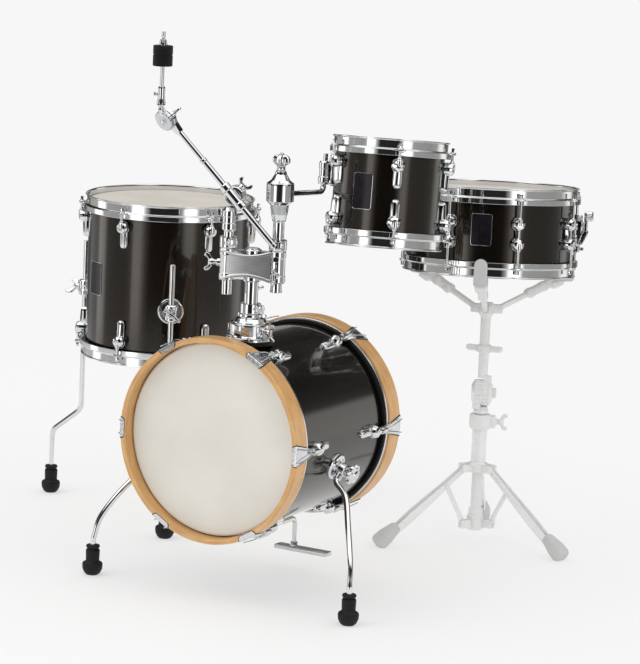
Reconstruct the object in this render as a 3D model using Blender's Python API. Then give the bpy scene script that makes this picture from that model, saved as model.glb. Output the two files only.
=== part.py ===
"""Compact four-drum kit: bass drum with a tom and cymbal arm, floor tom, and snare drum on its stand.

Metres, +Z up. The bass drum's axis runs along Y and its front head faces -Y. Angles called azimuth are
measured in plan from -Y towards +X. The kit is laid out from the bass drum and then moved as one, so that
the origin lies on the floor under the middle of the kit.
"""
import math

import bmesh
import bpy
from mathutils import Matrix, Vector

# Gap between pieces that touch, and the depth to which joined shapes are sunk in each other
GAP = 0.0003
SEAT = 0.0020

# Plan position of the middle of the kit, measured from the bass drum
KIT_CENTRE = Vector((-0.1940, 0.29715, 0.0))

# Bass drum
BASS_RADIUS = 0.1778
BASS_LENGTH = 0.330
BASS_AXIS_HEIGHT = 0.3075
BASS_WALL = 0.007
BASS_SIDES = 32
BASS_HOOP_INNER = 0.1815
BASS_HOOP_OUTER = 0.1915
BASS_HOOP_WIDTH = 0.038
BASS_HOOP_OVERHANG = 0.025
BASS_HOOP_EDGE = 0.0015
BASS_LUG_ANGLES = (30, 90, 150, 210, 270, 330)

# Drumheads
FILM = 0.0005
FLESH_HOOP_WIDTH = 0.0070
FLESH_HOOP_OUTER = 0.1885
HEAD_COLLAR = 0.0160
HEAD_COLLAR_THICKNESS = 0.0014

# Bass claws, each a hook over the hoop with a tail towards its lug
CLAW_PLATE = 0.0027
CLAW_TOP = 0.0050
CLAW_LIP = 0.0075
CLAW_HALF_WIDTH = 0.0115
CLAW_TAIL_HALF_WIDTH = 0.0052
CLAW_TAIL = 0.033
CLAW_TAIL_THICKNESS = 0.0055
CLAW_CLEARANCE = 0.0005
BASS_ROD_RADIUS = 0.0028
BASS_ROD_SHOWN = 0.0050

# Lugs: a round boss for the rod and a leaf along the shell
LUG_BOSS = 0.0110
LUG_BOSS_HEIGHT = 0.0205
LUG_BOSS_LENGTH = 0.017
LUG_LEAF_HALF_WIDTH = 0.0068
LUG_LEAF_HEIGHT = 0.0110
BASS_LUG_LENGTH = 0.058
TOM_LUG_LENGTH = 0.045
SNARE_LUG_LENGTH = 0.058
SNARE_LUG_BOSS_SPACING = 0.0394

# Hoops and tension rods of the toms and the snare drum
DRUM_WALL = 0.0065
ROD_OFFSET = 0.0150
ROD_RADIUS = 0.0027
ROD_HEAD_RADIUS = 0.0046
ROD_HEAD_HEIGHT = 0.0110
LUG_BELOW_EDGE = 0.0365
HOOP_RISE = 0.0120
HOOP_BAND = 0.0190
HOOP_SKIRT = 0.0120
HOOP_SHEET = 0.0023
HOOP_CLEARANCE = 0.0025
HOOP_LIP = 0.0050
HOOP_FLARE = 0.0115
EAR_REACH = 0.0205
EAR_HALF_WIDTH = 0.0080

# Tom
TOM_RADIUS = 0.1016
TOM_LENGTH = 0.178
TOM_SIDES = 20
TOM_TOP = Vector((0.1727, 0.1369, 0.8566))
TOM_AXIS = Vector((-0.0319, 0.1186, 0.9924)).normalized()
TOM_LUGS = 5
TOM_LUG_AZIMUTH = 37.6

# Floor tom
FLOOR_TOM_RADIUS = 0.165
FLOOR_TOM_LENGTH = 0.305
FLOOR_TOM_SIDES = 24
FLOOR_TOM_TOP = Vector((-0.490, 0.410, 0.6545))
FLOOR_TOM_LUGS = 6
FLOOR_TOM_LUG_AZIMUTH = 1.0

# Snare drum
SNARE_RADIUS = 0.165
SNARE_LENGTH = 0.152
SNARE_SIDES = 24
SNARE_BOTTOM = Vector((0.1457, 0.6070, 0.5500))
SNARE_AXIS = Vector((-0.0357, 0.0686, 0.9970)).normalized()
SNARE_LUGS = 8
SNARE_LUG_AZIMUTH = 0.4

# Bass drum spurs
SPUR_ANGLE = 106
SPUR_FORWARD = 0.011
SPUR_DISH_RADIUS = 0.0255
SPUR_DISH_THICKNESS = 0.0070
SPUR_BOLT_RADIUS = 0.0040
SPUR_BARREL_RADIUS = 0.0120
SPUR_BARREL_LENGTH = 0.0180
SPUR_KNOB_RADIUS = 0.0175
SPUR_KNOB_LENGTH = 0.0190
SPUR_ROD_RADIUS = 0.0050
SPUR_ROUTE = ((0.213, -0.043, 0.211), (0.246, -0.086, 0.167), (0.274, -0.121, 0.112))
SPUR_FOOT = Vector((0.282, -0.133, 0.0))

# Rubber feet
FOOT_RADIUS = 0.0195
FOOT_HEIGHT = 0.0580
FOOT_CONTACT_RADIUS = 0.0110
FOOT_SOCKET = 0.0120

# Riser that carries the pedal plate under the rear hoop
RISER_ROD_RADIUS = 0.0050
RISER_X = -0.020
RISER_BELOW_SHELL = 0.0322
RISER_HEIGHT = BASS_AXIS_HEIGHT - BASS_RADIUS - RISER_BELOW_SHELL
RISER_START = 0.010
RISER_REACH = 0.172
RISER_PLATE_SIZE = Vector((0.116, 0.024, 0.005))
RISER_PLATE_HEIGHT = 0.0360
RISER_BEND = 0.0140
RISER_BRACKET_SIZE = Vector((0.030, 0.034, 0.026))
RISER_BRACKET_Y = 0.035

# Post and its base on top of the bass drum
POST_PLACE = Vector((0.018, -0.0865, 0.0))
POST_RADIUS = 0.0127
POST_BELOW_SHELL = 0.045
POST_TOP = 0.1720
BASE_FLANGE_RADIUS = 0.0440
BASE_FLANGE_TOP = 0.0090
BASE_BODY_RADIUS = 0.0375
BASE_BODY_TOP = 0.0335
BASE_DOME_RADIUS = 0.0300
BASE_DOME_TOP = 0.0430
BASE_NECK_RADIUS = 0.0215
BASE_TOP = 0.0505
BASE_SCREW_AZIMUTH = 75
LOCK_RADIUS = 0.0193
LOCK_HEIGHT = 0.0185
ARM_LOCK_RADIUS = 0.0165
ARM_LOCK_HEIGHT = 0.0200

# Clamp that holds the cymbal tube and the tom arm on the post
CLAMP_AZIMUTH = 22
CLAMP_BOTTOM = 0.1100
CLAMP_HEIGHT = 0.0600
CLAMP_SOCKET_OFFSET = 0.0460
CLAMP_SOCKET_RADIUS = 0.0160
CLAMP_CENTRE_RADIUS = 0.0200
CLAMP_WEB = 0.0180
CLAMP_SCREW_LENGTH = 0.0160
CLAMP_COVER_LEFT = -0.0630
CLAMP_COVER_RIGHT = 0.0300
CLAMP_COVER_RIGHT_HALF = 0.0250
CLAMP_COVER_WAIST_HALF = 0.0212
CLAMP_COVER_BACK = 0.0145
CLAMP_COVER_FRONT = 0.0205

# Wing screws
SCREW_RADIUS = 0.0042
WING_SPAN = 0.0310
WING_HEIGHT = 0.0100

# Cymbal arm
CYMBAL_TUBE_RADIUS = 0.0095
CYMBAL_TUBE_BOTTOM = 0.0830
CYMBAL_SLEEVE_RADIUS = 0.0135
CYMBAL_SLEEVE_BOTTOM = 0.2040
CYMBAL_SLEEVE_TOP = 0.2380
BOOM_HINGE_ACROSS = -0.0360
BOOM_HINGE_HEIGHT = 0.2670
BOOM_FORWARD = 0.0260
BOOM_ANGLE = 132.7
BOOM_RADIUS = 0.0050
BOOM_BELOW_HINGE = 0.1185
BOOM_ABOVE_HINGE = 0.1860
BOOM_DISC_RADIUS = 0.0185
BOOM_DISC_THICKNESS = 0.0100
BOOM_SLEEVE_RADIUS = 0.0088
BOOM_SLEEVE_LENGTH = 0.0560
RATCHET_RADIUS = 0.0200
RATCHET_THICKNESS = 0.0085
RATCHET_OFFSET = 0.0056
RATCHET_TURN = 139
CYMBAL_NECK = 0.0070
CYMBAL_NECK_RADIUS = 0.0038
CYMBAL_COLLET_RADIUS = 0.0068
CYMBAL_COLLET_LENGTH = 0.0340
CYMBAL_ROD_RADIUS = 0.0036
CYMBAL_ROD_LENGTH = 0.1080
CYMBAL_FELT_RADIUS = 0.0180
CYMBAL_FELT_LENGTH = 0.0380
CYMBAL_FELT_START = 0.0370

# Tom arm
ARM_TUBE_RADIUS = 0.0105
ARM_TUBE_BOTTOM = 0.0920
ARM_NECK_BOTTOM = 0.2270
ARM_NECK_TOP_RADIUS = 0.0165
ARM_HOUSING_BOTTOM = 0.2600
ARM_HOUSING_TOP = 0.2960
ARM_HOUSING_RADIUS = 0.0255
ARM_CONE_TOP = 0.3160
ARM_STUD_RADIUS = 0.0035
ARM_NUT_BOTTOM = 0.3190
ARM_NUT_TOP = 0.3460
ARM_BALL_HEIGHT = 0.2735
L_ROD_RADIUS = 0.0052
L_ROD_BALL_RADIUS = 0.0115
L_ROD_TILT = 10
L_ROD_BEND = 0.0130
BRACKET_AZIMUTH = -70
BRACKET_OFFSET = 0.0200
BRACKET_ABOVE_MIDDLE = 0.0280
BRACKET_HEIGHT = 0.0480
BRACKET_RADIUS = 0.0110
BRACKET_PLATE_WIDTH = 0.0380
L_ROD_ABOVE_BRACKET = 0.0120
L_ROD_CORNER = 0.0360

# Floor tom legs
LEG_AZIMUTHS = (36, 156, 276)
LEG_ROD_RADIUS = 0.0050
LEG_ROD_OFFSET = 0.0260
LEG_ROD_TOP = 0.5200
LEG_BEND_TOP = 0.1860
LEG_BEND_BOTTOM = 0.1330
LEG_BEND_RADIUS = 0.0280
LEG_FOOT_RADIUS = 0.2580
LEG_BRACKET_HEIGHT = 0.4440
LEG_DISH_RADIUS = 0.0270
LEG_DISH_THICKNESS = 0.0080
LEG_SCREW_TURN = 35
LEG_BLOCK_SIZE = Vector((0.0260, 0.0240, 0.0340))

# Snare strainer and wires
STRAINER_AZIMUTH = 112
STRAINER_SIZE = Vector((0.0300, 0.0140, 0.0460))
LEVER_LENGTH = 0.0620
LEVER_WIDTH = 0.0120
LEVER_THICKNESS = 0.0040
WIRE_SPAN = 0.2700
WIRE_BED = 0.0420
WIRE_COUNT = 8
WIRE_RADIUS = 0.0010
WIRE_PLATE_LENGTH = 0.0140

# Snare stand
STAND_PLACE = Vector((0.1545, 0.5900, 0.0))
STAND_LEG_ANGLES = (-126.5, -6.5, 113.5)
STAND_FOOT_RADIUS = 0.2070
STAND_FOOT_SIZE = Vector((0.0340, 0.0180, 0.0160))
STAND_PIVOT_RADIUS = 0.0300
STAND_CROWN_RADIUS = 0.0388
STAND_CROWN_HEIGHT = 0.1550
STAND_CROWN_THICKNESS = 0.0160
STAND_HUB_RADIUS = 0.0348
STAND_HUB_HEIGHT = 0.0410
STAND_HUB_THICKNESS = 0.0290
STAND_STRUT_SHARE = 0.2330
STAND_STRUT_WIDTH = 0.0050
STAND_STRUT_HALF_DEPTH = 0.0045
STAND_LEG_WIDTH = 0.0120
STAND_LEG_HALF_DEPTH = 0.0045
STAND_INNER_RADIUS = 0.0108
STAND_MAIN_RADIUS = 0.0149
STAND_CLAMP_RADIUS = 0.0200
STAND_CLAMP_HEIGHT = 0.0290
STAND_NECK = 0.0200
STAND_ROD_TOP = 0.1850
STAND_UPPER_BOTTOM = 0.1900
STAND_TILT_HEIGHT = 0.3080
STAND_TILT_RADIUS = 0.0240
STAND_CLAMP_TOP = STAND_TILT_HEIGHT - STAND_TILT_RADIUS - STAND_NECK
STAND_MAIN_TOP = STAND_CLAMP_TOP - STAND_CLAMP_HEIGHT
STAND_TILT_THICKNESS = 0.0120
STAND_NUT_BAR = 0.0800
STAND_NUT_START = 0.0800
BASKET_AZIMUTHS = (22.5, 142.5, 262.5)
BASKET_PIVOT_RADIUS = 0.0240
BASKET_PIVOT_BELOW = 0.0740
BASKET_HUB_RADIUS = 0.0310
BASKET_ARM_WIDTH = 0.0110
BASKET_ARM_HALF_DEPTH = 0.0050
PAD_HALF_WIDTH = 0.0130
PAD_START = 0.1560
PAD_END = 0.1860
PAD_RISE = 0.0380
PAD_THICKNESS = 0.0150

MATERIALS = {
    "lacquer": ((0.045, 0.038, 0.030), 0.55, 0.22),
    "maple": ((0.78, 0.50, 0.24), 0.0, 0.38),
    "bass_film": ((0.80, 0.79, 0.74), 0.0, 0.45),
    "coated_film": ((0.76, 0.71, 0.66), 0.0, 0.55),
    "chrome": ((0.80, 0.81, 0.82), 1.0, 0.12),
    "rubber": ((0.020, 0.020, 0.021), 0.0, 0.65),
    "felt": ((0.015, 0.015, 0.016), 0.0, 0.90),
    "steel_wire": ((0.62, 0.62, 0.63), 1.0, 0.35),
    "pale_steel": ((0.84, 0.84, 0.84), 0.2, 0.40),
}


def clear_scene():
    for item in list(bpy.data.objects):
        bpy.data.objects.remove(item, do_unlink=True)


def material(name):
    found = bpy.data.materials.get(name)
    if found:
        return found
    colour, metallic, roughness = MATERIALS[name]
    made = bpy.data.materials.new(name)
    made.use_nodes = True
    shader = made.node_tree.nodes["Principled BSDF"]
    shader.inputs["Base Color"].default_value = (*colour, 1.0)
    shader.inputs["Metallic"].default_value = metallic
    shader.inputs["Roughness"].default_value = roughness
    return made


def plan_direction(azimuth):
    turn = math.radians(azimuth)
    return Vector((math.sin(turn), -math.cos(turn), 0.0))


def frame(origin, z_axis, x_hint=Vector((1.0, 0.0, 0.0))):
    """Matrix whose Z runs along z_axis and whose X is as near as it can be to x_hint."""
    z = Vector(z_axis).normalized()
    y = z.cross(Vector(x_hint)).normalized()
    x = y.cross(z)
    turned_axes = Matrix((x, y, z)).transposed().to_4x4()
    return Matrix.Translation(Vector(origin)) @ turned_axes


# Shapes, each returned as a closed bmesh


def closed(bm):
    bmesh.ops.recalc_face_normals(bm, faces=bm.faces)
    return bm


def moved(bm, matrix):
    bmesh.ops.transform(bm, matrix=matrix, verts=bm.verts)
    if matrix.to_3x3().determinant() < 0:
        bmesh.ops.reverse_faces(bm, faces=bm.faces)
    return bm


def turned(profile, sides, phase=0.0):
    """Solid or ring turned about Z from (radius, height) points."""
    bm = bmesh.new()
    points = [bm.verts.new((radius, 0.0, height)) for radius, height in profile]
    edges = [bm.edges.new((a, b)) for a, b in zip(points, points[1:])]
    if profile[0][0] > 0.0:
        edges.append(bm.edges.new((points[-1], points[0])))
    bmesh.ops.spin(bm, geom=points + edges, cent=(0, 0, 0), axis=(0, 0, 1), angle=2 * math.pi,
                   steps=sides, use_merge=False, use_duplicate=False)
    bmesh.ops.remove_doubles(bm, verts=bm.verts, dist=1e-6)
    bmesh.ops.rotate(bm, verts=bm.verts, matrix=Matrix.Rotation(math.radians(phase), 3, "Z"))
    return closed(bm)


def cylinder(radius, low, high, sides=12, phase=0.0):
    return turned([(0.0, high), (radius, high), (radius, low), (0.0, low)], sides, phase)


def tube(inner, outer, low, high, sides=16, phase=0.0):
    return turned([(inner, high), (outer, high), (outer, low), (inner, low)], sides, phase)


def ball(radius, sides=12, rings=6):
    profile = []
    for i in range(rings + 1):
        angle = math.pi * i / rings
        profile.append((radius * math.sin(angle) if 0 < i < rings else 0.0, radius * math.cos(angle)))
    return turned(profile, sides)


def block(size, centre=(0.0, 0.0, 0.0)):
    bm = bmesh.new()
    bmesh.ops.create_cube(bm, size=1.0)
    bmesh.ops.scale(bm, vec=Vector(size), verts=bm.verts)
    bmesh.ops.translate(bm, vec=Vector(centre), verts=bm.verts)
    return bm


def plate(outline, low, high):
    """Flat plate with the given outline in XY, between two heights."""
    bm = bmesh.new()
    face = bm.faces.new([bm.verts.new((x, y, low)) for x, y in outline])
    grown = bmesh.ops.extrude_face_region(bm, geom=[face])
    top = [item for item in grown["geom"] if isinstance(item, bmesh.types.BMVert)]
    bmesh.ops.translate(bm, vec=(0.0, 0.0, high - low), verts=top)
    return closed(bm)


def bar_outline(start, end, half_depth, steps=3):
    """Outline of a straight bar with round ends, centred on two points."""
    along = math.atan2(end[1] - start[1], end[0] - start[0])
    outline = []
    for centre, first in ((end, -90), (start, 90)):
        for step in range(steps + 1):
            angle = along + math.radians(first + 180 * step / steps)
            outline.append((centre[0] + half_depth * math.cos(angle), centre[1] + half_depth * math.sin(angle)))
    return outline


def lofted(sections):
    """Closed body through rings of equal point count, with flat ends."""
    bm = bmesh.new()
    rings = [[bm.verts.new(point) for point in section] for section in sections]
    count = len(rings[0])
    for lower, upper in zip(rings, rings[1:]):
        for i in range(count):
            j = (i + 1) % count
            bm.faces.new((lower[i], lower[j], upper[j], upper[i]))
    bm.faces.new(list(reversed(rings[0])))
    bm.faces.new(rings[-1])
    return closed(bm)


def smooth_route(points, per_span=4):
    """Points of a smooth curve through the given ones."""
    route = [Vector(point) for point in points]
    ends = [2 * route[0] - route[1]] + route + [2 * route[-1] - route[-2]]
    result = []
    for a, b, c, d in zip(ends, ends[1:], ends[2:], ends[3:]):
        for step in range(per_span):
            t = step / per_span
            result.append(0.5 * (2 * b + (c - a) * t + (2 * a - 5 * b + 4 * c - d) * t * t
                                 + (3 * b - a - 3 * c + d) * t ** 3))
    return result + [route[-1]]


def rounded_corner(before, corner, after, radius, steps=4):
    """Arc that replaces a corner between two straight runs."""
    before, corner, after = Vector(before), Vector(corner), Vector(after)
    into = (corner - before).normalized()
    out = (after - corner).normalized()
    turn = into.angle(out)
    setback = radius * math.tan(turn / 2)
    side = (out - into * out.dot(into)).normalized()
    centre = corner - into * setback + side * radius
    arc = []
    for step in range(steps + 1):
        angle = turn * step / steps
        arc.append(centre + radius * (math.sin(angle) * into - math.cos(angle) * side))
    return arc


def round_bar(route, radius, sides=8):
    """Solid bar of round section along a route, mitred where the route turns."""
    route = [Vector(point) for point in route]
    hint = (route[1] - route[0]).orthogonal().normalized()
    sections = []
    for i, point in enumerate(route):
        ahead = (route[min(i + 1, len(route) - 1)] - route[min(i, len(route) - 2)]).normalized()
        behind = (route[max(i, 1)] - route[max(i - 1, 0)]).normalized()
        tangent = (ahead + behind).normalized()
        hint = (hint - tangent * hint.dot(tangent)).normalized()
        other = tangent.cross(hint)
        bend = ahead - tangent * ahead.dot(tangent)
        stretch = 1.0 / max(tangent.dot(ahead), 0.5) - 1.0
        ring = []
        for k in range(sides):
            angle = 2 * math.pi * k / sides
            spoke = radius * (math.cos(angle) * hint + math.sin(angle) * other)
            if bend.length > 1e-6:
                spoke += bend.normalized() * spoke.dot(bend.normalized()) * stretch
            ring.append(point + spoke)
        sections.append(ring)
    return lofted(sections)


def gathered(pieces):
    """Several shapes that don't touch each other, in one bmesh."""
    whole = bmesh.new()
    for piece in pieces:
        mesh = bpy.data.meshes.new("piece")
        piece.to_mesh(mesh)
        piece.free()
        whole.from_mesh(mesh)
        bpy.data.meshes.remove(mesh)
    return whole


def combined(base, tools, operation):
    """Base united with, or cut by, each tool in turn."""
    for tool in tools:
        pair = []
        for bm in (base, tool):
            mesh = bpy.data.meshes.new("solid")
            bm.to_mesh(mesh)
            bm.free()
            item = bpy.data.objects.new("solid", mesh)
            bpy.context.scene.collection.objects.link(item)
            pair.append(item)
        change = pair[0].modifiers.new("change", "BOOLEAN")
        change.operation = operation
        change.solver = "EXACT"
        change.object = pair[1]
        bpy.context.view_layer.update()
        changed = pair[0].evaluated_get(bpy.context.evaluated_depsgraph_get())
        base = bmesh.new()
        base.from_mesh(changed.to_mesh())
        changed.to_mesh_clear()
        for item in pair:
            mesh = item.data
            bpy.data.objects.remove(item, do_unlink=True)
            bpy.data.meshes.remove(mesh)
        bmesh.ops.remove_doubles(base, verts=base.verts, dist=1e-6)
        bmesh.ops.dissolve_limit(base, angle_limit=math.radians(0.05), verts=base.verts, edges=base.edges)
    return base


def united(base, *tools):
    return combined(base, tools, "UNION")


def cut(base, *tools):
    return combined(base, tools, "DIFFERENCE")


class Kit:
    """Makes the bodies' pivots and the node objects that hang on them."""

    def __init__(self):
        self.pivots = {}

    def body(self, name, pivot, parent=None):
        """Empty on the joint's axis that the body's nodes are parented to."""
        item = bpy.data.objects.new(name + "_pivot", None)
        bpy.context.scene.collection.objects.link(item)
        item.empty_display_size = 0.03
        item.location = Vector(pivot) - KIT_CENTRE
        if parent:
            item.parent = self.pivots[parent]
            item.location = item.location - world_place(self.pivots[parent])
        self.pivots[name] = item

    def node(self, name, material_name, body, solid):
        bmesh.ops.triangulate(solid, faces=solid.faces)
        above = self.pivots[body]
        bmesh.ops.translate(solid, vec=-KIT_CENTRE - world_place(above), verts=solid.verts)
        mesh = bpy.data.meshes.new(name)
        solid.to_mesh(mesh)
        solid.free()
        mesh.shade_smooth()
        mesh.set_sharp_from_angle(angle=math.radians(35))
        mesh.materials.append(material(material_name))
        item = bpy.data.objects.new(name, mesh)
        bpy.context.scene.collection.objects.link(item)
        item.parent = above


def world_place(item):
    place = Vector(item.location)
    while item.parent:
        item = item.parent
        place = place + Vector(item.location)
    return place


# Drums


class Drum:
    """Round shell about its own Z, with the sizes that everything on it is worked out from."""

    def __init__(self, radius, length, sides, place, wall, lug_azimuths):
        self.radius = radius
        self.half = length / 2
        self.sides = sides
        self.place = place
        self.wall = wall
        self.lug_azimuths = lug_azimuths
        self.phase = (lug_azimuths[0] - 90 + 180 / sides) % (360 / sides)

    def shell(self):
        inner = self.radius - self.wall
        return moved(tube(inner, self.radius, -self.half, self.half, self.sides, self.phase), self.place)

    def outside(self, beyond=0.1):
        """Solid that fills the drum out to just off its shell, to cut what sits on the shell."""
        reach = self.half + beyond
        return moved(cylinder(self.radius + GAP, -reach, reach, self.sides, self.phase), self.place)

    def at(self, azimuth, along=0.0):
        """Frame on the shell: X across, Y out of the shell, Z along the drum."""
        turn = math.radians(azimuth)
        out = Vector((math.sin(turn), -math.cos(turn), 0.0))
        across = Vector((math.cos(turn), math.sin(turn), 0.0))
        axes = Matrix((across, out, Vector((0.0, 0.0, 1.0)))).transposed().to_4x4()
        return self.place @ Matrix.Translation(out * self.radius + Vector((0.0, 0.0, along))) @ axes

    def end(self, side):
        """The drum's frame, mirrored about its middle for its lower or rear end."""
        return self.place @ Matrix.Diagonal((1, 1, side, 1))


def spread(count, first):
    return [first + 360 * i / count for i in range(count)]


def drum_head(drum, side):
    """Film over the bearing edge with its collar down the shell."""
    top = drum.half + GAP + FILM
    inner = drum.radius + GAP
    outer = inner + HEAD_COLLAR_THICKNESS
    low = drum.half - HEAD_COLLAR
    profile = [(0.0, top), (outer, top), (outer, low), (inner, low), (inner, drum.half + GAP),
               (0.0, drum.half + GAP)]
    return moved(turned(profile, drum.sides, drum.phase), drum.end(side))


def tension_rod(drum, azimuth, lug_end):
    """Rod with its head seated on the hoop's ear, down to the lug."""
    ear = drum.half + HOOP_RISE - HOOP_BAND
    top = ear + ROD_HEAD_HEIGHT
    seat = ear - HOOP_SHEET / 4
    profile = [(0.0, top), (0.7 * ROD_HEAD_RADIUS, top), (ROD_HEAD_RADIUS, seat), (ROD_RADIUS, seat),
               (ROD_RADIUS, lug_end + GAP), (0.0, lug_end + GAP)]
    turn = Matrix.Rotation(math.radians(azimuth - 90), 4, "Z")
    return moved(turned(profile, 4), turn @ Matrix.Translation((drum.radius + ROD_OFFSET, 0.0, 0.0)))


def steel_hoop(drum, side, lug_end):
    """Triple-flanged hoop with an ear at each lug and its tension rods."""
    inner = drum.radius + HOOP_CLEARANCE
    top = drum.half + HOOP_RISE
    middle = top - HOOP_BAND
    flare = drum.radius + HOOP_FLARE
    profile = [(inner, top), (inner + HOOP_LIP, top), (inner + HOOP_SHEET, middle), (flare, middle),
               (flare, middle - HOOP_SKIRT), (inner, middle - HOOP_SHEET)]
    hoop = turned(profile, drum.sides, drum.phase)
    start = inner + HOOP_SHEET / 4
    reach = drum.radius + EAR_REACH
    ears = []
    rods = []
    for azimuth in drum.lug_azimuths:
        ear = block((reach - start, 2 * EAR_HALF_WIDTH, 1.3 * HOOP_SHEET),
                    ((reach + start) / 2, 0.0, middle - HOOP_SHEET / 2))
        ears.append(moved(ear, Matrix.Rotation(math.radians(azimuth - 90), 4, "Z")))
        rods.append(tension_rod(drum, azimuth, lug_end))
    hoop = united(hoop, gathered(ears), gathered(rods))
    return moved(hoop, drum.end(side))


def lug_section(half_width, height, along):
    return [Vector((-half_width, -SEAT, along)), Vector((half_width, -SEAT, along)),
            Vector((0.55 * half_width, height, along)), Vector((-0.55 * half_width, height, along))]


def leaf_lug(start, length):
    """Boss at the rod's end and a leaf that runs on along the shell."""
    stations = [(0.0, 0.80 * LUG_BOSS, 0.95 * LUG_BOSS_HEIGHT),
                (0.55 * LUG_BOSS_LENGTH, LUG_BOSS, LUG_BOSS_HEIGHT),
                (1.10 * LUG_BOSS_LENGTH, LUG_LEAF_HALF_WIDTH, LUG_LEAF_HEIGHT),
                (length, 0.75 * LUG_LEAF_HALF_WIDTH, 0.65 * LUG_LEAF_HEIGHT)]
    return lofted([lug_section(width, height, start - along) for along, width, height in stations])


def tube_lug(length, spacing):
    """Long lug with a round boss near each end, for the rods of both hoops."""
    boss = spacing / 2
    upper = [(length / 2, 0.62 * LUG_BOSS, 0.93 * LUG_BOSS_HEIGHT),
             (boss, 0.95 * LUG_BOSS, LUG_BOSS_HEIGHT),
             (boss - 0.009, 0.60 * LUG_BOSS, 0.93 * LUG_BOSS_HEIGHT)]
    stations = [(-along, width, height) for along, width, height in upper] + list(reversed(upper))
    return lofted([lug_section(width, height, along) for along, width, height in stations])


def both_ends(make, drum):
    """A piece at each lug place of both ends of a drum."""
    pieces = []
    for azimuth in drum.lug_azimuths:
        for side in (1, -1):
            pieces.append(moved(make(), drum.at(azimuth) @ Matrix.Diagonal((1, 1, side, 1))))
    return pieces


def add_drum(kit, name, body, drum, lugs, lug_end, on_shell=()):
    """Shell with its lugs, and the hoops and heads, of a tom or snare drum."""
    kit.node(name + "_shell", "lacquer", body, united(drum.shell(), gathered(lugs), *on_shell))
    for side, place in ((1, "top"), (-1, "bottom")):
        kit.node(f"{name}_{place}_hoop", "chrome", body, steel_hoop(drum, side, lug_end))
        kit.node(f"{name}_{place}_head", "coated_film", body, drum_head(drum, side))


BASS_PLACE = Matrix.Translation((0.0, 0.0, BASS_AXIS_HEIGHT)) @ Matrix.Rotation(math.pi / 2, 4, "X")
BASS = Drum(BASS_RADIUS, BASS_LENGTH, BASS_SIDES, BASS_PLACE, BASS_WALL,
            [180 - angle for angle in BASS_LUG_ANGLES])
SHELL_TOP = BASS_AXIS_HEIGHT + BASS_RADIUS

TOM_MIDDLE = TOM_TOP - TOM_AXIS * (TOM_LENGTH / 2 + HOOP_RISE)
TOM = Drum(TOM_RADIUS, TOM_LENGTH, TOM_SIDES, frame(TOM_MIDDLE, TOM_AXIS), DRUM_WALL,
           spread(TOM_LUGS, TOM_LUG_AZIMUTH))

FLOOR_TOM_MIDDLE = FLOOR_TOM_TOP - Vector((0.0, 0.0, FLOOR_TOM_LENGTH / 2 + HOOP_RISE))
FLOOR_TOM = Drum(FLOOR_TOM_RADIUS, FLOOR_TOM_LENGTH, FLOOR_TOM_SIDES, Matrix.Translation(FLOOR_TOM_MIDDLE),
                 DRUM_WALL, spread(FLOOR_TOM_LUGS, FLOOR_TOM_LUG_AZIMUTH))

SNARE_MIDDLE = SNARE_BOTTOM + SNARE_AXIS * (SNARE_LENGTH / 2 + HOOP_RISE)
SNARE = Drum(SNARE_RADIUS, SNARE_LENGTH, SNARE_SIDES, frame(SNARE_MIDDLE, SNARE_AXIS), DRUM_WALL,
             spread(SNARE_LUGS, SNARE_LUG_AZIMUTH))

BASS_HOOP_FACE = BASS.half + BASS_HOOP_OVERHANG
BASS_HOOP_BACK = BASS_HOOP_FACE - BASS_HOOP_WIDTH
CLAW_TAIL_END = BASS_HOOP_BACK - CLAW_TAIL
CLAW_UNDER = FLESH_HOOP_OUTER - BASS_RADIUS + CLAW_CLEARANCE
BASS_LUG_START = CLAW_TAIL_END - BASS_ROD_SHOWN - GAP


def claw():
    """Hook over the wooden hoop, tapering to a tail; Z along the drum, Y out of the shell."""
    over = BASS_HOOP_OUTER - BASS_RADIUS
    face = BASS_HOOP_FACE
    back = BASS_HOOP_BACK
    sunk = SEAT / 2
    side_view = [(face - sunk, over - CLAW_LIP), (face + CLAW_PLATE, over - CLAW_LIP),
                 (face + CLAW_PLATE, over + CLAW_TOP - 0.003), (face, over + CLAW_TOP),
                 (back - 0.002, over + CLAW_TOP), (CLAW_TAIL_END, CLAW_UNDER + CLAW_TAIL_THICKNESS),
                 (CLAW_TAIL_END, CLAW_UNDER), (back + sunk, CLAW_UNDER), (back + sunk, over - SEAT),
                 (face - sunk, over - SEAT)]
    bm = plate(side_view, -1.0, 1.0)
    bmesh.ops.triangulate(bm, faces=[face for face in bm.faces if len(face.verts) > 4])
    for vert in bm.verts:
        along, out, across = vert.co
        share = min(max((back - along) / CLAW_TAIL, 0.0), 1.0)
        half_width = CLAW_HALF_WIDTH + (CLAW_TAIL_HALF_WIDTH - CLAW_HALF_WIDTH) * share
        vert.co = (across * half_width, out, along)
    return closed(bm)


def bass_rod():
    rod = cylinder(BASS_ROD_RADIUS, CLAW_TAIL_END - BASS_ROD_SHOWN, CLAW_TAIL_END + SEAT, 4)
    return moved(rod, Matrix.Translation((0.0, CLAW_UNDER + CLAW_TAIL_THICKNESS / 2, 0.0)))


def bass_hoop(side):
    """Wooden hoop with its claws and their rods."""
    edge = BASS_HOOP_EDGE
    profile = [(BASS_HOOP_INNER, BASS_HOOP_FACE), (BASS_HOOP_OUTER - edge, BASS_HOOP_FACE),
               (BASS_HOOP_OUTER, BASS_HOOP_FACE - edge), (BASS_HOOP_OUTER, BASS_HOOP_BACK),
               (BASS_HOOP_INNER, BASS_HOOP_BACK)]
    hoop = moved(turned(profile, BASS.sides, BASS.phase), BASS.end(side))
    places = [BASS.at(azimuth) @ Matrix.Diagonal((1, 1, side, 1)) for azimuth in BASS.lug_azimuths]
    claws = gathered([moved(claw(), place) for place in places])
    rods = gathered([moved(bass_rod(), place) for place in places])
    return united(hoop, claws, rods)


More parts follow.
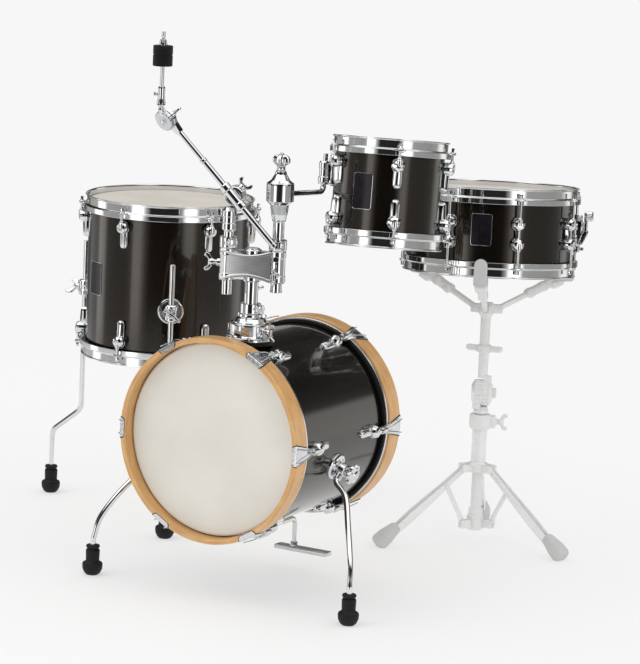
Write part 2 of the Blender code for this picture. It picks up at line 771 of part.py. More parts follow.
def bass_head(side):
    """Film, collar and the flesh hoop that the wooden hoop presses on."""
    top = BASS.half + GAP + FILM
    inner = BASS.radius + GAP
    film = inner + 2 * FILM
    ring_top = BASS_HOOP_BACK - GAP
    ring_low = ring_top - FLESH_HOOP_WIDTH
    profile = [(0.0, top), (film, top), (film, ring_top), (FLESH_HOOP_OUTER, ring_top),
               (FLESH_HOOP_OUTER, ring_low), (inner, ring_low), (inner, BASS.half + GAP),
               (0.0, BASS.half + GAP)]
    return moved(turned(profile, BASS.sides, BASS.phase), BASS.end(side))


def add_bass_drum(kit):
    hole = moved(cylinder(POST_RADIUS + 0.001, -0.02, 0.02, 16), Matrix.Translation(on_post(0.0)))
    lugs = both_ends(lambda: leaf_lug(BASS_LUG_START, BASS_LUG_LENGTH), BASS)
    kit.node("bass_shell", "lacquer", "kit", cut(united(BASS.shell(), gathered(lugs)), hole))
    for side, place in ((1, "front"), (-1, "rear")):
        kit.node(f"bass_{place}_hoop", "maple", "kit", bass_hoop(side))
        kit.node(f"bass_{place}_head", "bass_film", "kit", bass_head(side))


# Spurs, riser and post base on the bass drum


def rubber_foot(bore, sides=10):
    """Ball foot with a flat to stand on, a ringed neck and a socket for its rod."""
    profile = [(0.0, FOOT_HEIGHT - FOOT_SOCKET), (bore, FOOT_HEIGHT - FOOT_SOCKET), (bore, FOOT_HEIGHT),
               (bore + 0.0045, FOOT_HEIGHT), (0.62 * FOOT_RADIUS, 0.62 * FOOT_HEIGHT),
               (0.85 * FOOT_RADIUS, 0.53 * FOOT_HEIGHT), (FOOT_RADIUS, 0.33 * FOOT_HEIGHT),
               (0.92 * FOOT_RADIUS, 0.14 * FOOT_HEIGHT), (FOOT_CONTACT_RADIUS, 0.0), (0.0, 0.0)]
    return turned(profile, sides)


def spur_frame(side):
    """Frame on the shell at the spur: Z out of the shell."""
    place = BASS.at(180 - side * SPUR_ANGLE, SPUR_FORWARD)
    return place @ Matrix.Rotation(-math.pi / 2, 4, "X")


def spur_bracket(side):
    """Dish on the shell, the bolt that the barrel turns on, and its clamping knob, turned as one."""
    dish = SPUR_DISH_THICKNESS
    knob = dish + SPUR_BARREL_LENGTH + 2 * GAP
    end = knob + SPUR_KNOB_LENGTH
    profile = [(0.0, end), (0.80 * SPUR_KNOB_RADIUS, end), (SPUR_KNOB_RADIUS, knob + 0.62 * SPUR_KNOB_LENGTH),
               (0.66 * SPUR_KNOB_RADIUS, knob), (SPUR_BOLT_RADIUS, knob), (SPUR_BOLT_RADIUS, dish),
               (0.72 * SPUR_DISH_RADIUS, dish), (SPUR_DISH_RADIUS, 0.35 * dish), (SPUR_DISH_RADIUS, -0.006),
               (0.0, -0.006)]
    return cut(moved(turned(profile, 14), spur_frame(side)), BASS.outside())


def spur_rod(side):
    """Barrel on the bracket's bolt with the curved rod down to the foot."""
    low = SPUR_DISH_THICKNESS + GAP
    place = spur_frame(side)
    barrel = moved(cylinder(SPUR_BARREL_RADIUS, low, low + SPUR_BARREL_LENGTH, 12), place)
    bore = moved(cylinder(SPUR_BOLT_RADIUS + GAP, low - 0.01, low + SPUR_BARREL_LENGTH + 0.01, 14), place)
    middle = low + SPUR_BARREL_LENGTH / 2
    start = place @ Vector((0.0, 0.0, middle))
    leaving = Vector((-0.276 * side, -0.75, -0.961)).normalized() * 2.2 * SPUR_BARREL_RADIUS
    beside = place @ Vector((0.0, 0.0, middle + 0.002)) + leaving
    foot = Vector((side * SPUR_FOOT.x, SPUR_FOOT.y, 0.0))
    above = foot + Vector((0.0, 0.0, FOOT_HEIGHT + 0.012))
    end = foot + Vector((0.0, 0.0, FOOT_HEIGHT - FOOT_SOCKET + GAP))
    points = [start, beside] + [Vector((side * x, y, z)) for x, y, z in SPUR_ROUTE] + [above]
    rod = round_bar(smooth_route(points, 2) + [end], SPUR_ROD_RADIUS, 8)
    return cut(united(barrel, rod), bore)


def add_spurs(kit):
    for side, word in ((-1, "left"), (1, "right")):
        kit.node("spur_bracket_" + word, "chrome", "kit", spur_bracket(side))
        body = "spur_" + word
        kit.body(body, spur_frame(side) @ Vector((0.0, 0.0, 0.0)), "kit")
        kit.node("spur_rod_" + word, "chrome", body, spur_rod(side))
        foot_place = Matrix.Translation((side * SPUR_FOOT.x, SPUR_FOOT.y, 0.0))
        foot = moved(rubber_foot(SPUR_ROD_RADIUS + GAP), foot_place)
        kit.node("spur_foot_" + word, "rubber", body, foot)


def add_riser(kit):
    """Bracket under the shell, and the cranked rod with the pedal plate on its end."""
    size = RISER_BRACKET_SIZE
    low = RISER_HEIGHT - size.z / 2
    top = BASS_AXIS_HEIGHT - BASS_RADIUS + 0.004
    body = block((size.x, size.y, top - low), (RISER_X, RISER_BRACKET_Y, (top + low) / 2))
    bore = moved(cylinder(RISER_ROD_RADIUS + GAP, -0.05, 0.05, 12),
                 frame((RISER_X, RISER_BRACKET_Y, RISER_HEIGHT), (0.0, 1.0, 0.0)))
    screw = moved(wing_screw(CLAMP_SCREW_LENGTH),
                  frame((RISER_X - size.x / 2, RISER_BRACKET_Y, RISER_HEIGHT), (-1.0, 0.0, 0.0), (0.0, 1.0, 0.0)))
    kit.node("riser_bracket", "chrome", "kit", cut(united(body, screw), BASS.outside(), bore))
    kit.body("riser", (RISER_X, RISER_BRACKET_Y, RISER_HEIGHT), "kit")
    start = Vector((RISER_X, RISER_START, RISER_HEIGHT))
    corner = Vector((RISER_X, RISER_REACH, RISER_HEIGHT))
    end = Vector((RISER_X, RISER_REACH, RISER_PLATE_HEIGHT + SEAT))
    rod = round_bar([start] + rounded_corner(start, corner, end, RISER_BEND) + [end], RISER_ROD_RADIUS, 8)
    size = RISER_PLATE_SIZE
    pedal_plate = block(size, (0.0, RISER_REACH, RISER_PLATE_HEIGHT + size.z / 2))
    kit.node("riser", "chrome", "riser", united(rod, pedal_plate))


def on_post(height):
    return POST_PLACE + Vector((0.0, 0.0, SHELL_TOP + height))


def wing_screw(length):
    """Screw with two flat wings, sunk a little at its foot; Z out along the screw, X along the wings."""
    half = WING_SPAN / 2
    hub = 1.9 * SCREW_RADIUS
    outline = [(-half, 0.55 * WING_HEIGHT), (-0.62 * half, 0.0), (0.62 * half, 0.0), (half, 0.55 * WING_HEIGHT),
               (0.80 * half, WING_HEIGHT), (hub, 0.60 * WING_HEIGHT), (-hub, 0.60 * WING_HEIGHT),
               (-0.80 * half, WING_HEIGHT)]
    wings = moved(plate(outline, -0.6 * SCREW_RADIUS, 0.6 * SCREW_RADIUS),
                  Matrix.Translation((0.0, 0.0, length)) @ Matrix.Rotation(math.pi / 2, 4, "X"))
    return united(cylinder(SCREW_RADIUS, -SEAT, length + 0.3 * WING_HEIGHT, 6), wings)


def add_post(kit):
    """Base bolted on the shell, and the post that slides in it with its stop collar."""
    bore = POST_RADIUS + GAP
    profile = [(bore, BASE_TOP), (BASE_NECK_RADIUS, BASE_TOP), (BASE_DOME_RADIUS, BASE_DOME_TOP),
               (BASE_DOME_RADIUS, BASE_BODY_TOP), (BASE_BODY_RADIUS, BASE_BODY_TOP - 0.002),
               (BASE_BODY_RADIUS, BASE_FLANGE_TOP), (BASE_FLANGE_RADIUS, BASE_FLANGE_TOP - 0.002),
               (BASE_FLANGE_RADIUS, -0.008), (bore, -0.008)]
    base = moved(turned(profile, 16), Matrix.Translation(on_post(0.0)))
    out = plan_direction(BASE_SCREW_AZIMUTH)
    screw_place = on_post((BASE_BODY_TOP + BASE_FLANGE_TOP) / 2) + out * BASE_BODY_RADIUS
    screw = moved(wing_screw(CLAMP_SCREW_LENGTH), frame(screw_place, out, (0.0, 0.0, 1.0)))
    kit.node("mount_base", "chrome", "kit", cut(united(base, screw), BASS.outside()))
    kit.body("post", on_post(BASE_TOP), "kit")
    low = BASE_TOP + GAP
    profile = [(0.0, POST_TOP), (POST_RADIUS, POST_TOP), (POST_RADIUS, low + LOCK_HEIGHT),
               (LOCK_RADIUS, low + LOCK_HEIGHT), (LOCK_RADIUS, low), (POST_RADIUS, low),
               (POST_RADIUS, -POST_BELOW_SHELL), (0.0, -POST_BELOW_SHELL)]
    kit.node("mount_post", "chrome", "post", moved(turned(profile, 16), Matrix.Translation(on_post(0.0))))


# Clamp with the cymbal arm and the tom arm


CLAMP_OUT = plan_direction(CLAMP_AZIMUTH)
CLAMP_ACROSS = plan_direction(CLAMP_AZIMUTH + 90)
CLAMP_TOP = CLAMP_BOTTOM + CLAMP_HEIGHT


def in_clamp(across, out, height):
    """World place of a point given across and out of the clamp, and above the shell."""
    return on_post(height) + CLAMP_ACROSS * across + CLAMP_OUT * out


def clamp_cover():
    """Waisted plate over the front of the left and middle sockets."""
    tall = CLAMP_HEIGHT / 2
    upper = [(CLAMP_COVER_RIGHT, CLAMP_COVER_RIGHT_HALF), (-0.25 * CLAMP_SOCKET_OFFSET, CLAMP_COVER_WAIST_HALF),
             (-CLAMP_SOCKET_OFFSET, 0.80 * tall), (CLAMP_COVER_LEFT, tall)]
    outline = upper + [(across, -height) for across, height in reversed(upper)]
    middle = in_clamp(0.0, 0.0, (CLAMP_BOTTOM + CLAMP_TOP) / 2)
    return moved(plate(outline, CLAMP_COVER_BACK, CLAMP_COVER_FRONT), frame(middle, CLAMP_OUT, CLAMP_ACROSS))


def add_clamp(kit):
    kit.body("clamp", on_post(CLAMP_BOTTOM), "post")
    web = block((2 * CLAMP_SOCKET_OFFSET, CLAMP_WEB, 0.92 * CLAMP_HEIGHT))
    body = moved(web, frame(in_clamp(0.0, 0.0, (CLAMP_BOTTOM + CLAMP_TOP) / 2), (0, 0, 1), CLAMP_ACROSS))
    bosses = []
    bores = []
    for across, outer, inner in ((0.0, CLAMP_CENTRE_RADIUS, POST_RADIUS),
                                 (-CLAMP_SOCKET_OFFSET, CLAMP_SOCKET_RADIUS, CYMBAL_TUBE_RADIUS),
                                 (CLAMP_SOCKET_OFFSET, CLAMP_SOCKET_RADIUS, ARM_TUBE_RADIUS)):
        place = Matrix.Translation(in_clamp(across, 0.0, 0.0))
        bosses.append(moved(cylinder(outer, CLAMP_BOTTOM, CLAMP_TOP, 14), place))
        bores.append(moved(cylinder(inner + 2 * GAP, CLAMP_BOTTOM - 0.01, CLAMP_TOP + 0.01, 14), place))
    height = CLAMP_BOTTOM + 0.52 * CLAMP_HEIGHT
    left = frame(in_clamp(-CLAMP_SOCKET_OFFSET - CLAMP_SOCKET_RADIUS, 0.0, height), -CLAMP_ACROSS, (0, 0, 1))
    right = frame(in_clamp(CLAMP_SOCKET_OFFSET, CLAMP_SOCKET_RADIUS, height - 0.016), CLAMP_OUT, (0, 0, 1))
    screws = [moved(wing_screw(CLAMP_SCREW_LENGTH), place) for place in (left, right)]
    body = united(body, gathered(bosses), clamp_cover(), gathered(screws))
    kit.node("multi_clamp", "chrome", "clamp", cut(body, gathered(bores)))


def boom_frame():
    """Frame on the boom's hinge: Z along the boom towards the cymbal, Y into the clamp."""
    lean = math.radians(BOOM_ANGLE)
    along = CLAMP_ACROSS * math.cos(lean) + Vector((0.0, 0.0, math.sin(lean)))
    origin = in_clamp(BOOM_HINGE_ACROSS, BOOM_FORWARD, BOOM_HINGE_HEIGHT)
    return frame(origin, along, along.cross(CLAMP_OUT))


def ratchet_face():
    """Frame on the toothed faces at the boom's end, in the boom's frame: Z towards the cymbal's half."""
    end = Matrix.Translation((0.0, 0.0, BOOM_ABOVE_HINGE)) @ Matrix.Rotation(math.radians(RATCHET_TURN), 4, "Z")
    return end @ Matrix.Rotation(-math.pi / 2, 4, "X") @ Matrix.Translation((0.0, 0.0, RATCHET_OFFSET))


def add_cymbal_tube(kit):
    """Tube in the clamp's left socket, its stop collar, and the fixed half of the boom's hinge."""
    kit.body("cymbal_tube", in_clamp(-CLAMP_SOCKET_OFFSET, 0.0, CLAMP_BOTTOM), "clamp")
    low = CLAMP_TOP + GAP
    profile = [(0.0, CYMBAL_SLEEVE_TOP + 0.006), (0.0090, CYMBAL_SLEEVE_TOP + 0.006),
               (CYMBAL_SLEEVE_RADIUS, CYMBAL_SLEEVE_TOP), (CYMBAL_SLEEVE_RADIUS, CYMBAL_SLEEVE_BOTTOM),
               (CYMBAL_TUBE_RADIUS, CYMBAL_SLEEVE_BOTTOM), (CYMBAL_TUBE_RADIUS, low + ARM_LOCK_HEIGHT),
               (ARM_LOCK_RADIUS, low + ARM_LOCK_HEIGHT), (ARM_LOCK_RADIUS, low), (CYMBAL_TUBE_RADIUS, low),
               (CYMBAL_TUBE_RADIUS, CYMBAL_TUBE_BOTTOM), (0.0, CYMBAL_TUBE_BOTTOM)]
    stem = moved(turned(profile, 14), Matrix.Translation(in_clamp(-CLAMP_SOCKET_OFFSET, 0.0, 0.0)))
    hinge = in_clamp(BOOM_HINGE_ACROSS, 0.0, BOOM_HINGE_HEIGHT)
    disc = moved(cylinder(BOOM_DISC_RADIUS, -BOOM_DISC_THICKNESS, 0.0, 14), frame(hinge, CLAMP_OUT, CLAMP_ACROSS))
    back = frame(hinge - CLAMP_OUT * BOOM_DISC_THICKNESS, -CLAMP_OUT, (0, 0, 1))
    wing = moved(wing_screw(0.010), back)
    across = (BOOM_HINGE_ACROSS - CLAMP_SOCKET_OFFSET) / 2
    low = CYMBAL_SLEEVE_TOP - SEAT
    neck = block((0.0160, 0.80 * BOOM_DISC_THICKNESS, BOOM_HINGE_HEIGHT - low))
    neck_place = in_clamp(across, -0.5 * BOOM_DISC_THICKNESS, (BOOM_HINGE_HEIGHT + low) / 2)
    neck = moved(neck, frame(neck_place, (0, 0, 1), CLAMP_ACROSS))
    kit.node("cymbal_tube", "chrome", "cymbal_tube", united(stem, disc, neck, wing))


def add_boom(kit):
    hinge = in_clamp(BOOM_HINGE_ACROSS, 0.0, BOOM_HINGE_HEIGHT)
    kit.body("boom_tilter", hinge, "cymbal_tube")
    place = boom_frame()
    disc = moved(cylinder(BOOM_DISC_RADIUS, GAP, BOOM_FORWARD - 0.6 * BOOM_SLEEVE_RADIUS, 14),
                 frame(hinge, CLAMP_OUT, CLAMP_ACROSS))
    half = BOOM_SLEEVE_LENGTH / 2
    sleeve = moved(cylinder(BOOM_SLEEVE_RADIUS, -half, half, 12), place)
    bore = moved(cylinder(BOOM_RADIUS + GAP, -half - 0.01, half + 0.01, 12), place)
    kit.node("boom_tilter", "chrome", "boom_tilter", cut(united(disc, sleeve), bore))

    kit.body("boom", place @ Vector((0.0, 0.0, 0.0)), "boom_tilter")
    rod = cylinder(BOOM_RADIUS, -BOOM_BELOW_HINGE, BOOM_ABOVE_HINGE - 0.5 * RATCHET_RADIUS, 10)
    face = ratchet_face()
    inner = moved(cylinder(RATCHET_RADIUS, -RATCHET_THICKNESS, -GAP / 2, 14), face)
    wing = moved(wing_screw(0.012), face @ Matrix.Translation((0.0, 0.0, -RATCHET_THICKNESS))
                 @ Matrix.Rotation(math.pi, 4, "X"))
    kit.node("boom_rod", "chrome", "boom", moved(united(rod, inner, wing), place))


def add_cymbal_tilter(kit):
    """Outer ratchet disc with the upright rod for the cymbal, its felts and wing nut."""
    face = boom_frame() @ ratchet_face()
    pivot = face @ Vector((0.0, 0.0, 0.0))
    kit.body("cymbal_tilter", pivot, "boom")
    outer = moved(cylinder(RATCHET_RADIUS, GAP / 2, RATCHET_THICKNESS, 14), face)
    outward = (face.to_3x3() @ Vector((0.0, 0.0, 1.0))).normalized()
    rim = Vector((0.0, 0.0, 1.0)) - outward * outward.z
    root = pivot + outward * (0.5 * RATCHET_THICKNESS)
    base = root + rim.normalized() * (RATCHET_RADIUS + 1.1 * CYMBAL_NECK_RADIUS)
    neck = round_bar([root + rim.normalized() * 0.5 * RATCHET_RADIUS, base,
                      base + Vector((0.0, 0.0, CYMBAL_NECK + SEAT))], CYMBAL_NECK_RADIUS, 8)
    collet_top = CYMBAL_NECK + CYMBAL_COLLET_LENGTH
    profile = [(0.0, collet_top + CYMBAL_ROD_LENGTH), (CYMBAL_ROD_RADIUS, collet_top + CYMBAL_ROD_LENGTH),
               (CYMBAL_ROD_RADIUS, collet_top), (CYMBAL_COLLET_RADIUS, collet_top),
               (CYMBAL_COLLET_RADIUS, CYMBAL_NECK), (0.0, CYMBAL_NECK)]
    stem = moved(turned(profile, 10), Matrix.Translation(base))
    kit.node("cymbal_tilter", "chrome", "cymbal_tilter", united(outer, neck, stem))

    rise = Matrix.Translation(base + Vector((0.0, 0.0, collet_top)))
    bore = CYMBAL_ROD_RADIUS + GAP
    top = CYMBAL_FELT_START + CYMBAL_FELT_LENGTH
    felts = tube(bore, CYMBAL_FELT_RADIUS, CYMBAL_FELT_START, top, 16)
    kit.node("cymbal_felts", "felt", "cymbal_tilter", moved(felts, rise))
    kit.body("cymbal_nut", base + Vector((0.0, 0.0, collet_top)), "cymbal_tilter")
    low = top + GAP
    hub = cylinder(2 * CYMBAL_ROD_RADIUS, low, low + 0.009, 10)
    half = WING_SPAN / 2
    outline = [(-0.7 * half, 0.0), (0.7 * half, 0.0), (half, 0.016), (0.55 * half, 0.016), (0.35 * half, 0.007),
               (-0.35 * half, 0.007), (-0.55 * half, 0.016), (-half, 0.016)]
    wings = moved(plate(outline, -0.0018, 0.0018),
                  Matrix.Translation((0.0, 0.0, low + 0.0005)) @ Matrix.Rotation(math.pi / 2, 4, "X"))
    nut = cut(united(hub, wings), cylinder(bore, low - 0.01, low + 0.03, 10))
    kit.node("cymbal_wing_nut", "chrome", "cymbal_nut", moved(nut, rise))


def l_rod_place(along):
    """Point on the upright of the tom's rod, at a height along the tom from its middle."""
    return TOM.at(BRACKET_AZIMUTH, along) @ Vector((0.0, BRACKET_OFFSET, 0.0))


def add_tom_arm(kit):
    """Tube in the clamp's right socket with the ball housing, its wing nut, and the bent rod on the ball."""
    socket = Matrix.Translation(in_clamp(CLAMP_SOCKET_OFFSET, 0.0, 0.0))
    kit.body("tom_arm", in_clamp(CLAMP_SOCKET_OFFSET, 0.0, CLAMP_BOTTOM), "clamp")
    low = CLAMP_TOP + GAP
    stud_top = ARM_NUT_TOP + 0.004
    profile = [(0.0, stud_top), (ARM_STUD_RADIUS, stud_top), (ARM_STUD_RADIUS, ARM_CONE_TOP),
               (0.0100, ARM_CONE_TOP), (0.0180, ARM_HOUSING_TOP + 0.002), (0.0235, ARM_HOUSING_TOP),
               (ARM_HOUSING_RADIUS, ARM_HOUSING_TOP - 0.002), (ARM_HOUSING_RADIUS, ARM_HOUSING_BOTTOM),
               (ARM_NECK_TOP_RADIUS, ARM_HOUSING_BOTTOM - 0.004), (ARM_TUBE_RADIUS, ARM_NECK_BOTTOM),
               (ARM_TUBE_RADIUS, low + ARM_LOCK_HEIGHT), (ARM_LOCK_RADIUS, low + ARM_LOCK_HEIGHT),
               (ARM_LOCK_RADIUS, low), (ARM_TUBE_RADIUS, low), (ARM_TUBE_RADIUS, ARM_TUBE_BOTTOM),
               (0.0, ARM_TUBE_BOTTOM)]
    arm = moved(turned(profile, 14), socket)
    centre = in_clamp(CLAMP_SOCKET_OFFSET, 0.0, ARM_BALL_HEIGHT)
    corner = l_rod_place(BRACKET_ABOVE_MIDDLE - L_ROD_CORNER)
    run = (corner - centre).normalized()
    cavity = moved(ball(L_ROD_BALL_RADIUS + 2 * GAP, 12, 6), Matrix.Translation(centre))
    room = L_ROD_RADIUS + 2 * GAP
    swing = ARM_HOUSING_RADIUS * math.tan(math.radians(L_ROD_TILT + 1.5))
    near = -room
    far = ARM_HOUSING_RADIUS + 0.01
    spread_far = room + swing * far / ARM_HOUSING_RADIUS
    slot = plate([(near, -room), (near, room), (far, spread_far), (far, -spread_far)], -room, room)
    slot_place = frame(centre, Vector((1.0, 0.0, 0.0)), Vector((0.0, run.y, run.z)))
    arm = cut(arm, cavity, moved(slot, slot_place))
    kit.node("tom_arm_tube", "chrome", "tom_arm", arm)

    kit.body("arm_nut", in_clamp(CLAMP_SOCKET_OFFSET, 0.0, ARM_NUT_BOTTOM), "tom_arm")
    nut = turned([(0.0, ARM_NUT_TOP), (0.0130, ARM_NUT_TOP), (0.0165, ARM_NUT_TOP - 0.004),
                  (0.0160, ARM_NUT_BOTTOM + 0.012), (0.0085, ARM_NUT_BOTTOM + 0.008),
                  (0.0085, ARM_NUT_BOTTOM), (0.0, ARM_NUT_BOTTOM)], 12)
    grips = []
    for k in range(4):
        grip = cylinder(0.0060, ARM_NUT_BOTTOM + 0.010, ARM_NUT_TOP + 0.01, 8)
        turn = Matrix.Rotation(math.radians(45 + 90 * k), 4, "Z")
        grips.append(moved(grip, turn @ Matrix.Translation((0.0195, 0.0, 0.0))))
    bore = cylinder(ARM_STUD_RADIUS + GAP, ARM_NUT_BOTTOM - 0.01, ARM_NUT_TOP + 0.01, 16)
    kit.node("tom_arm_wing_nut", "chrome", "arm_nut", moved(cut(nut, gathered(grips), bore), socket))

    kit.body("tom_tilt", centre, "tom_arm")
    top = l_rod_place(BRACKET_ABOVE_MIDDLE + BRACKET_HEIGHT / 2 + L_ROD_ABOVE_BRACKET)
    route = [centre] + rounded_corner(centre, corner, top, L_ROD_BEND) + [top]
    joint_ball = moved(ball(L_ROD_BALL_RADIUS, 12, 6), Matrix.Translation(centre))
    rod = united(joint_ball, round_bar(route, L_ROD_RADIUS, 8))
    kit.node("tom_l_rod", "chrome", "tom_tilt", rod)


def tom_bracket():
    """Plate on the tom's shell with the boss that slides on the bent rod, and its wing screw."""
    half = BRACKET_HEIGHT / 2
    place = TOM.at(BRACKET_AZIMUTH, BRACKET_ABOVE_MIDDLE)
    back = block((BRACKET_PLATE_WIDTH, 0.010, BRACKET_HEIGHT))
    web = block((0.012, BRACKET_OFFSET, 0.8 * BRACKET_HEIGHT), (0.0, BRACKET_OFFSET / 2, 0.0))
    rod_place = Matrix.Translation((0.0, BRACKET_OFFSET, 0.0))
    boss = moved(cylinder(BRACKET_RADIUS, -0.9 * half, 0.9 * half, 12), rod_place)
    beside = Matrix.Translation((0.001 - BRACKET_RADIUS, BRACKET_OFFSET, 0.0))
    screw = moved(wing_screw(0.012), beside @ Matrix.Rotation(-math.pi / 2, 4, "Y"))
    bracket = united(back, web, boss, screw)
    bore = moved(cylinder(L_ROD_RADIUS + GAP, -half - 0.01, half + 0.01, 10), rod_place)
    return cut(moved(cut(bracket, bore), place), TOM.outside())


def add_tom(kit):
    kit.body("tom", l_rod_place(BRACKET_ABOVE_MIDDLE), "tom_tilt")
    lug_end = TOM.half - LUG_BELOW_EDGE
    lugs = both_ends(lambda: leaf_lug(lug_end, TOM_LUG_LENGTH), TOM)
    add_drum(kit, "tom", "tom", TOM, lugs, lug_end)
    kit.node("tom_bracket", "chrome", "tom", tom_bracket())


# Floor tom


def leg_bracket(azimuth):
    """Dish, arm and rod block with its wing screw, on the floor tom's shell."""
    place = FLOOR_TOM.at(azimuth, LEG_BRACKET_HEIGHT - FLOOR_TOM_MIDDLE.z)
    out = Matrix.Rotation(-math.pi / 2, 4, "X")
    size = LEG_BLOCK_SIZE
    face = LEG_ROD_OFFSET + size.y / 2
    profile = [(0.0, LEG_ROD_OFFSET - 0.004), (0.0100, LEG_ROD_OFFSET - 0.004), (0.0130, LEG_DISH_THICKNESS),
               (0.80 * LEG_DISH_RADIUS, LEG_DISH_THICKNESS - 0.001), (LEG_DISH_RADIUS, 0.4 * LEG_DISH_THICKNESS),
               (LEG_DISH_RADIUS, -0.0045), (0.0, -0.0045)]
    dish = moved(turned(profile, 16), out)
    holder = block(size, (0.0, LEG_ROD_OFFSET, 0.0))
    slant = Matrix.Rotation(math.radians(LEG_SCREW_TURN), 4, "Z")
    screw = moved(wing_screw(0.012), Matrix.Translation((0.0, face, 0.0)) @ out @ slant)
    bore = moved(cylinder(LEG_ROD_RADIUS + GAP, -0.03, 0.03, 10), Matrix.Translation((0.0, LEG_ROD_OFFSET, 0.0)))
    return moved(cut(united(dish, holder, screw), bore), place)


def floor_tom_leg(azimuth):
    """Bent rod with its rubber foot."""
    out = plan_direction(azimuth)
    axis = Vector((FLOOR_TOM_MIDDLE.x, FLOOR_TOM_MIDDLE.y, 0.0))
    inner = axis + out * (FLOOR_TOM_RADIUS + LEG_ROD_OFFSET)
    outer = axis + out * LEG_FOOT_RADIUS
    top = inner + Vector((0.0, 0.0, LEG_ROD_TOP))
    knee = inner + Vector((0.0, 0.0, LEG_BEND_TOP))
    ankle = outer + Vector((0.0, 0.0, LEG_BEND_BOTTOM))
    end = outer + Vector((0.0, 0.0, FOOT_HEIGHT - FOOT_SOCKET - SEAT))
    route = [top] + rounded_corner(top, knee, ankle, LEG_BEND_RADIUS, 3)
    route += rounded_corner(knee, ankle, end, LEG_BEND_RADIUS, 3) + [end]
    rod = round_bar(route, LEG_ROD_RADIUS, 6)
    return united(rod, moved(rubber_foot(LEG_ROD_RADIUS - GAP), Matrix.Translation(outer)))


def add_floor_tom(kit):
    floor_place = Vector((FLOOR_TOM_MIDDLE.x, FLOOR_TOM_MIDDLE.y, 0.0))
    kit.body("floor_tom_legs", floor_place, "kit")
    for number, azimuth in enumerate(LEG_AZIMUTHS, 1):
        kit.node(f"floor_tom_leg_{number}", "chrome", "floor_tom_legs", floor_tom_leg(azimuth))
    kit.body("floor_tom", floor_place + Vector((0.0, 0.0, LEG_BRACKET_HEIGHT)), "floor_tom_legs")
    lug_end = FLOOR_TOM.half - LUG_BELOW_EDGE
    lugs = both_ends(lambda: leaf_lug(lug_end, TOM_LUG_LENGTH), FLOOR_TOM)
    brackets = gathered([leg_bracket(azimuth) for azimuth in LEG_AZIMUTHS])
    add_drum(kit, "floor_tom", "floor_tom", FLOOR_TOM, lugs, lug_end, [brackets])


# Snare stand


def stand_frame(angle):
    """Upright frame at the stand: X outward at a plan angle, Z up."""
    return Matrix.Translation(STAND_PLACE) @ Matrix.Rotation(math.radians(angle), 4, "Z")


# Turns a plate drawn in XY so that its outline stands in XZ, centred on the frame's Y
STANDING = Matrix.Rotation(math.pi / 2, 4, "X")

STAND_LEG_TOP = (STAND_PIVOT_RADIUS, STAND_CROWN_HEIGHT)
STAND_LEG_END = (STAND_FOOT_RADIUS, STAND_FOOT_SIZE.z / 2)
STAND_STRUT_END = tuple(a + (b - a) * STAND_STRUT_SHARE for a, b in zip(STAND_LEG_TOP, STAND_LEG_END))
STAND_STRUT_ASIDE = STAND_LEG_WIDTH / 2 + GAP + STAND_STRUT_WIDTH / 2


def upright_slots(low, high, width, start, reach, aside=0.0):
    """Cutters for the slots that the legs or struts turn in."""
    slots = []
    for angle in STAND_LEG_ANGLES:
        slot = block((reach - start, width, high - low), ((reach + start) / 2, aside, (high + low) / 2))
        slots.append(moved(slot, stand_frame(angle)))
    return gathered(slots)


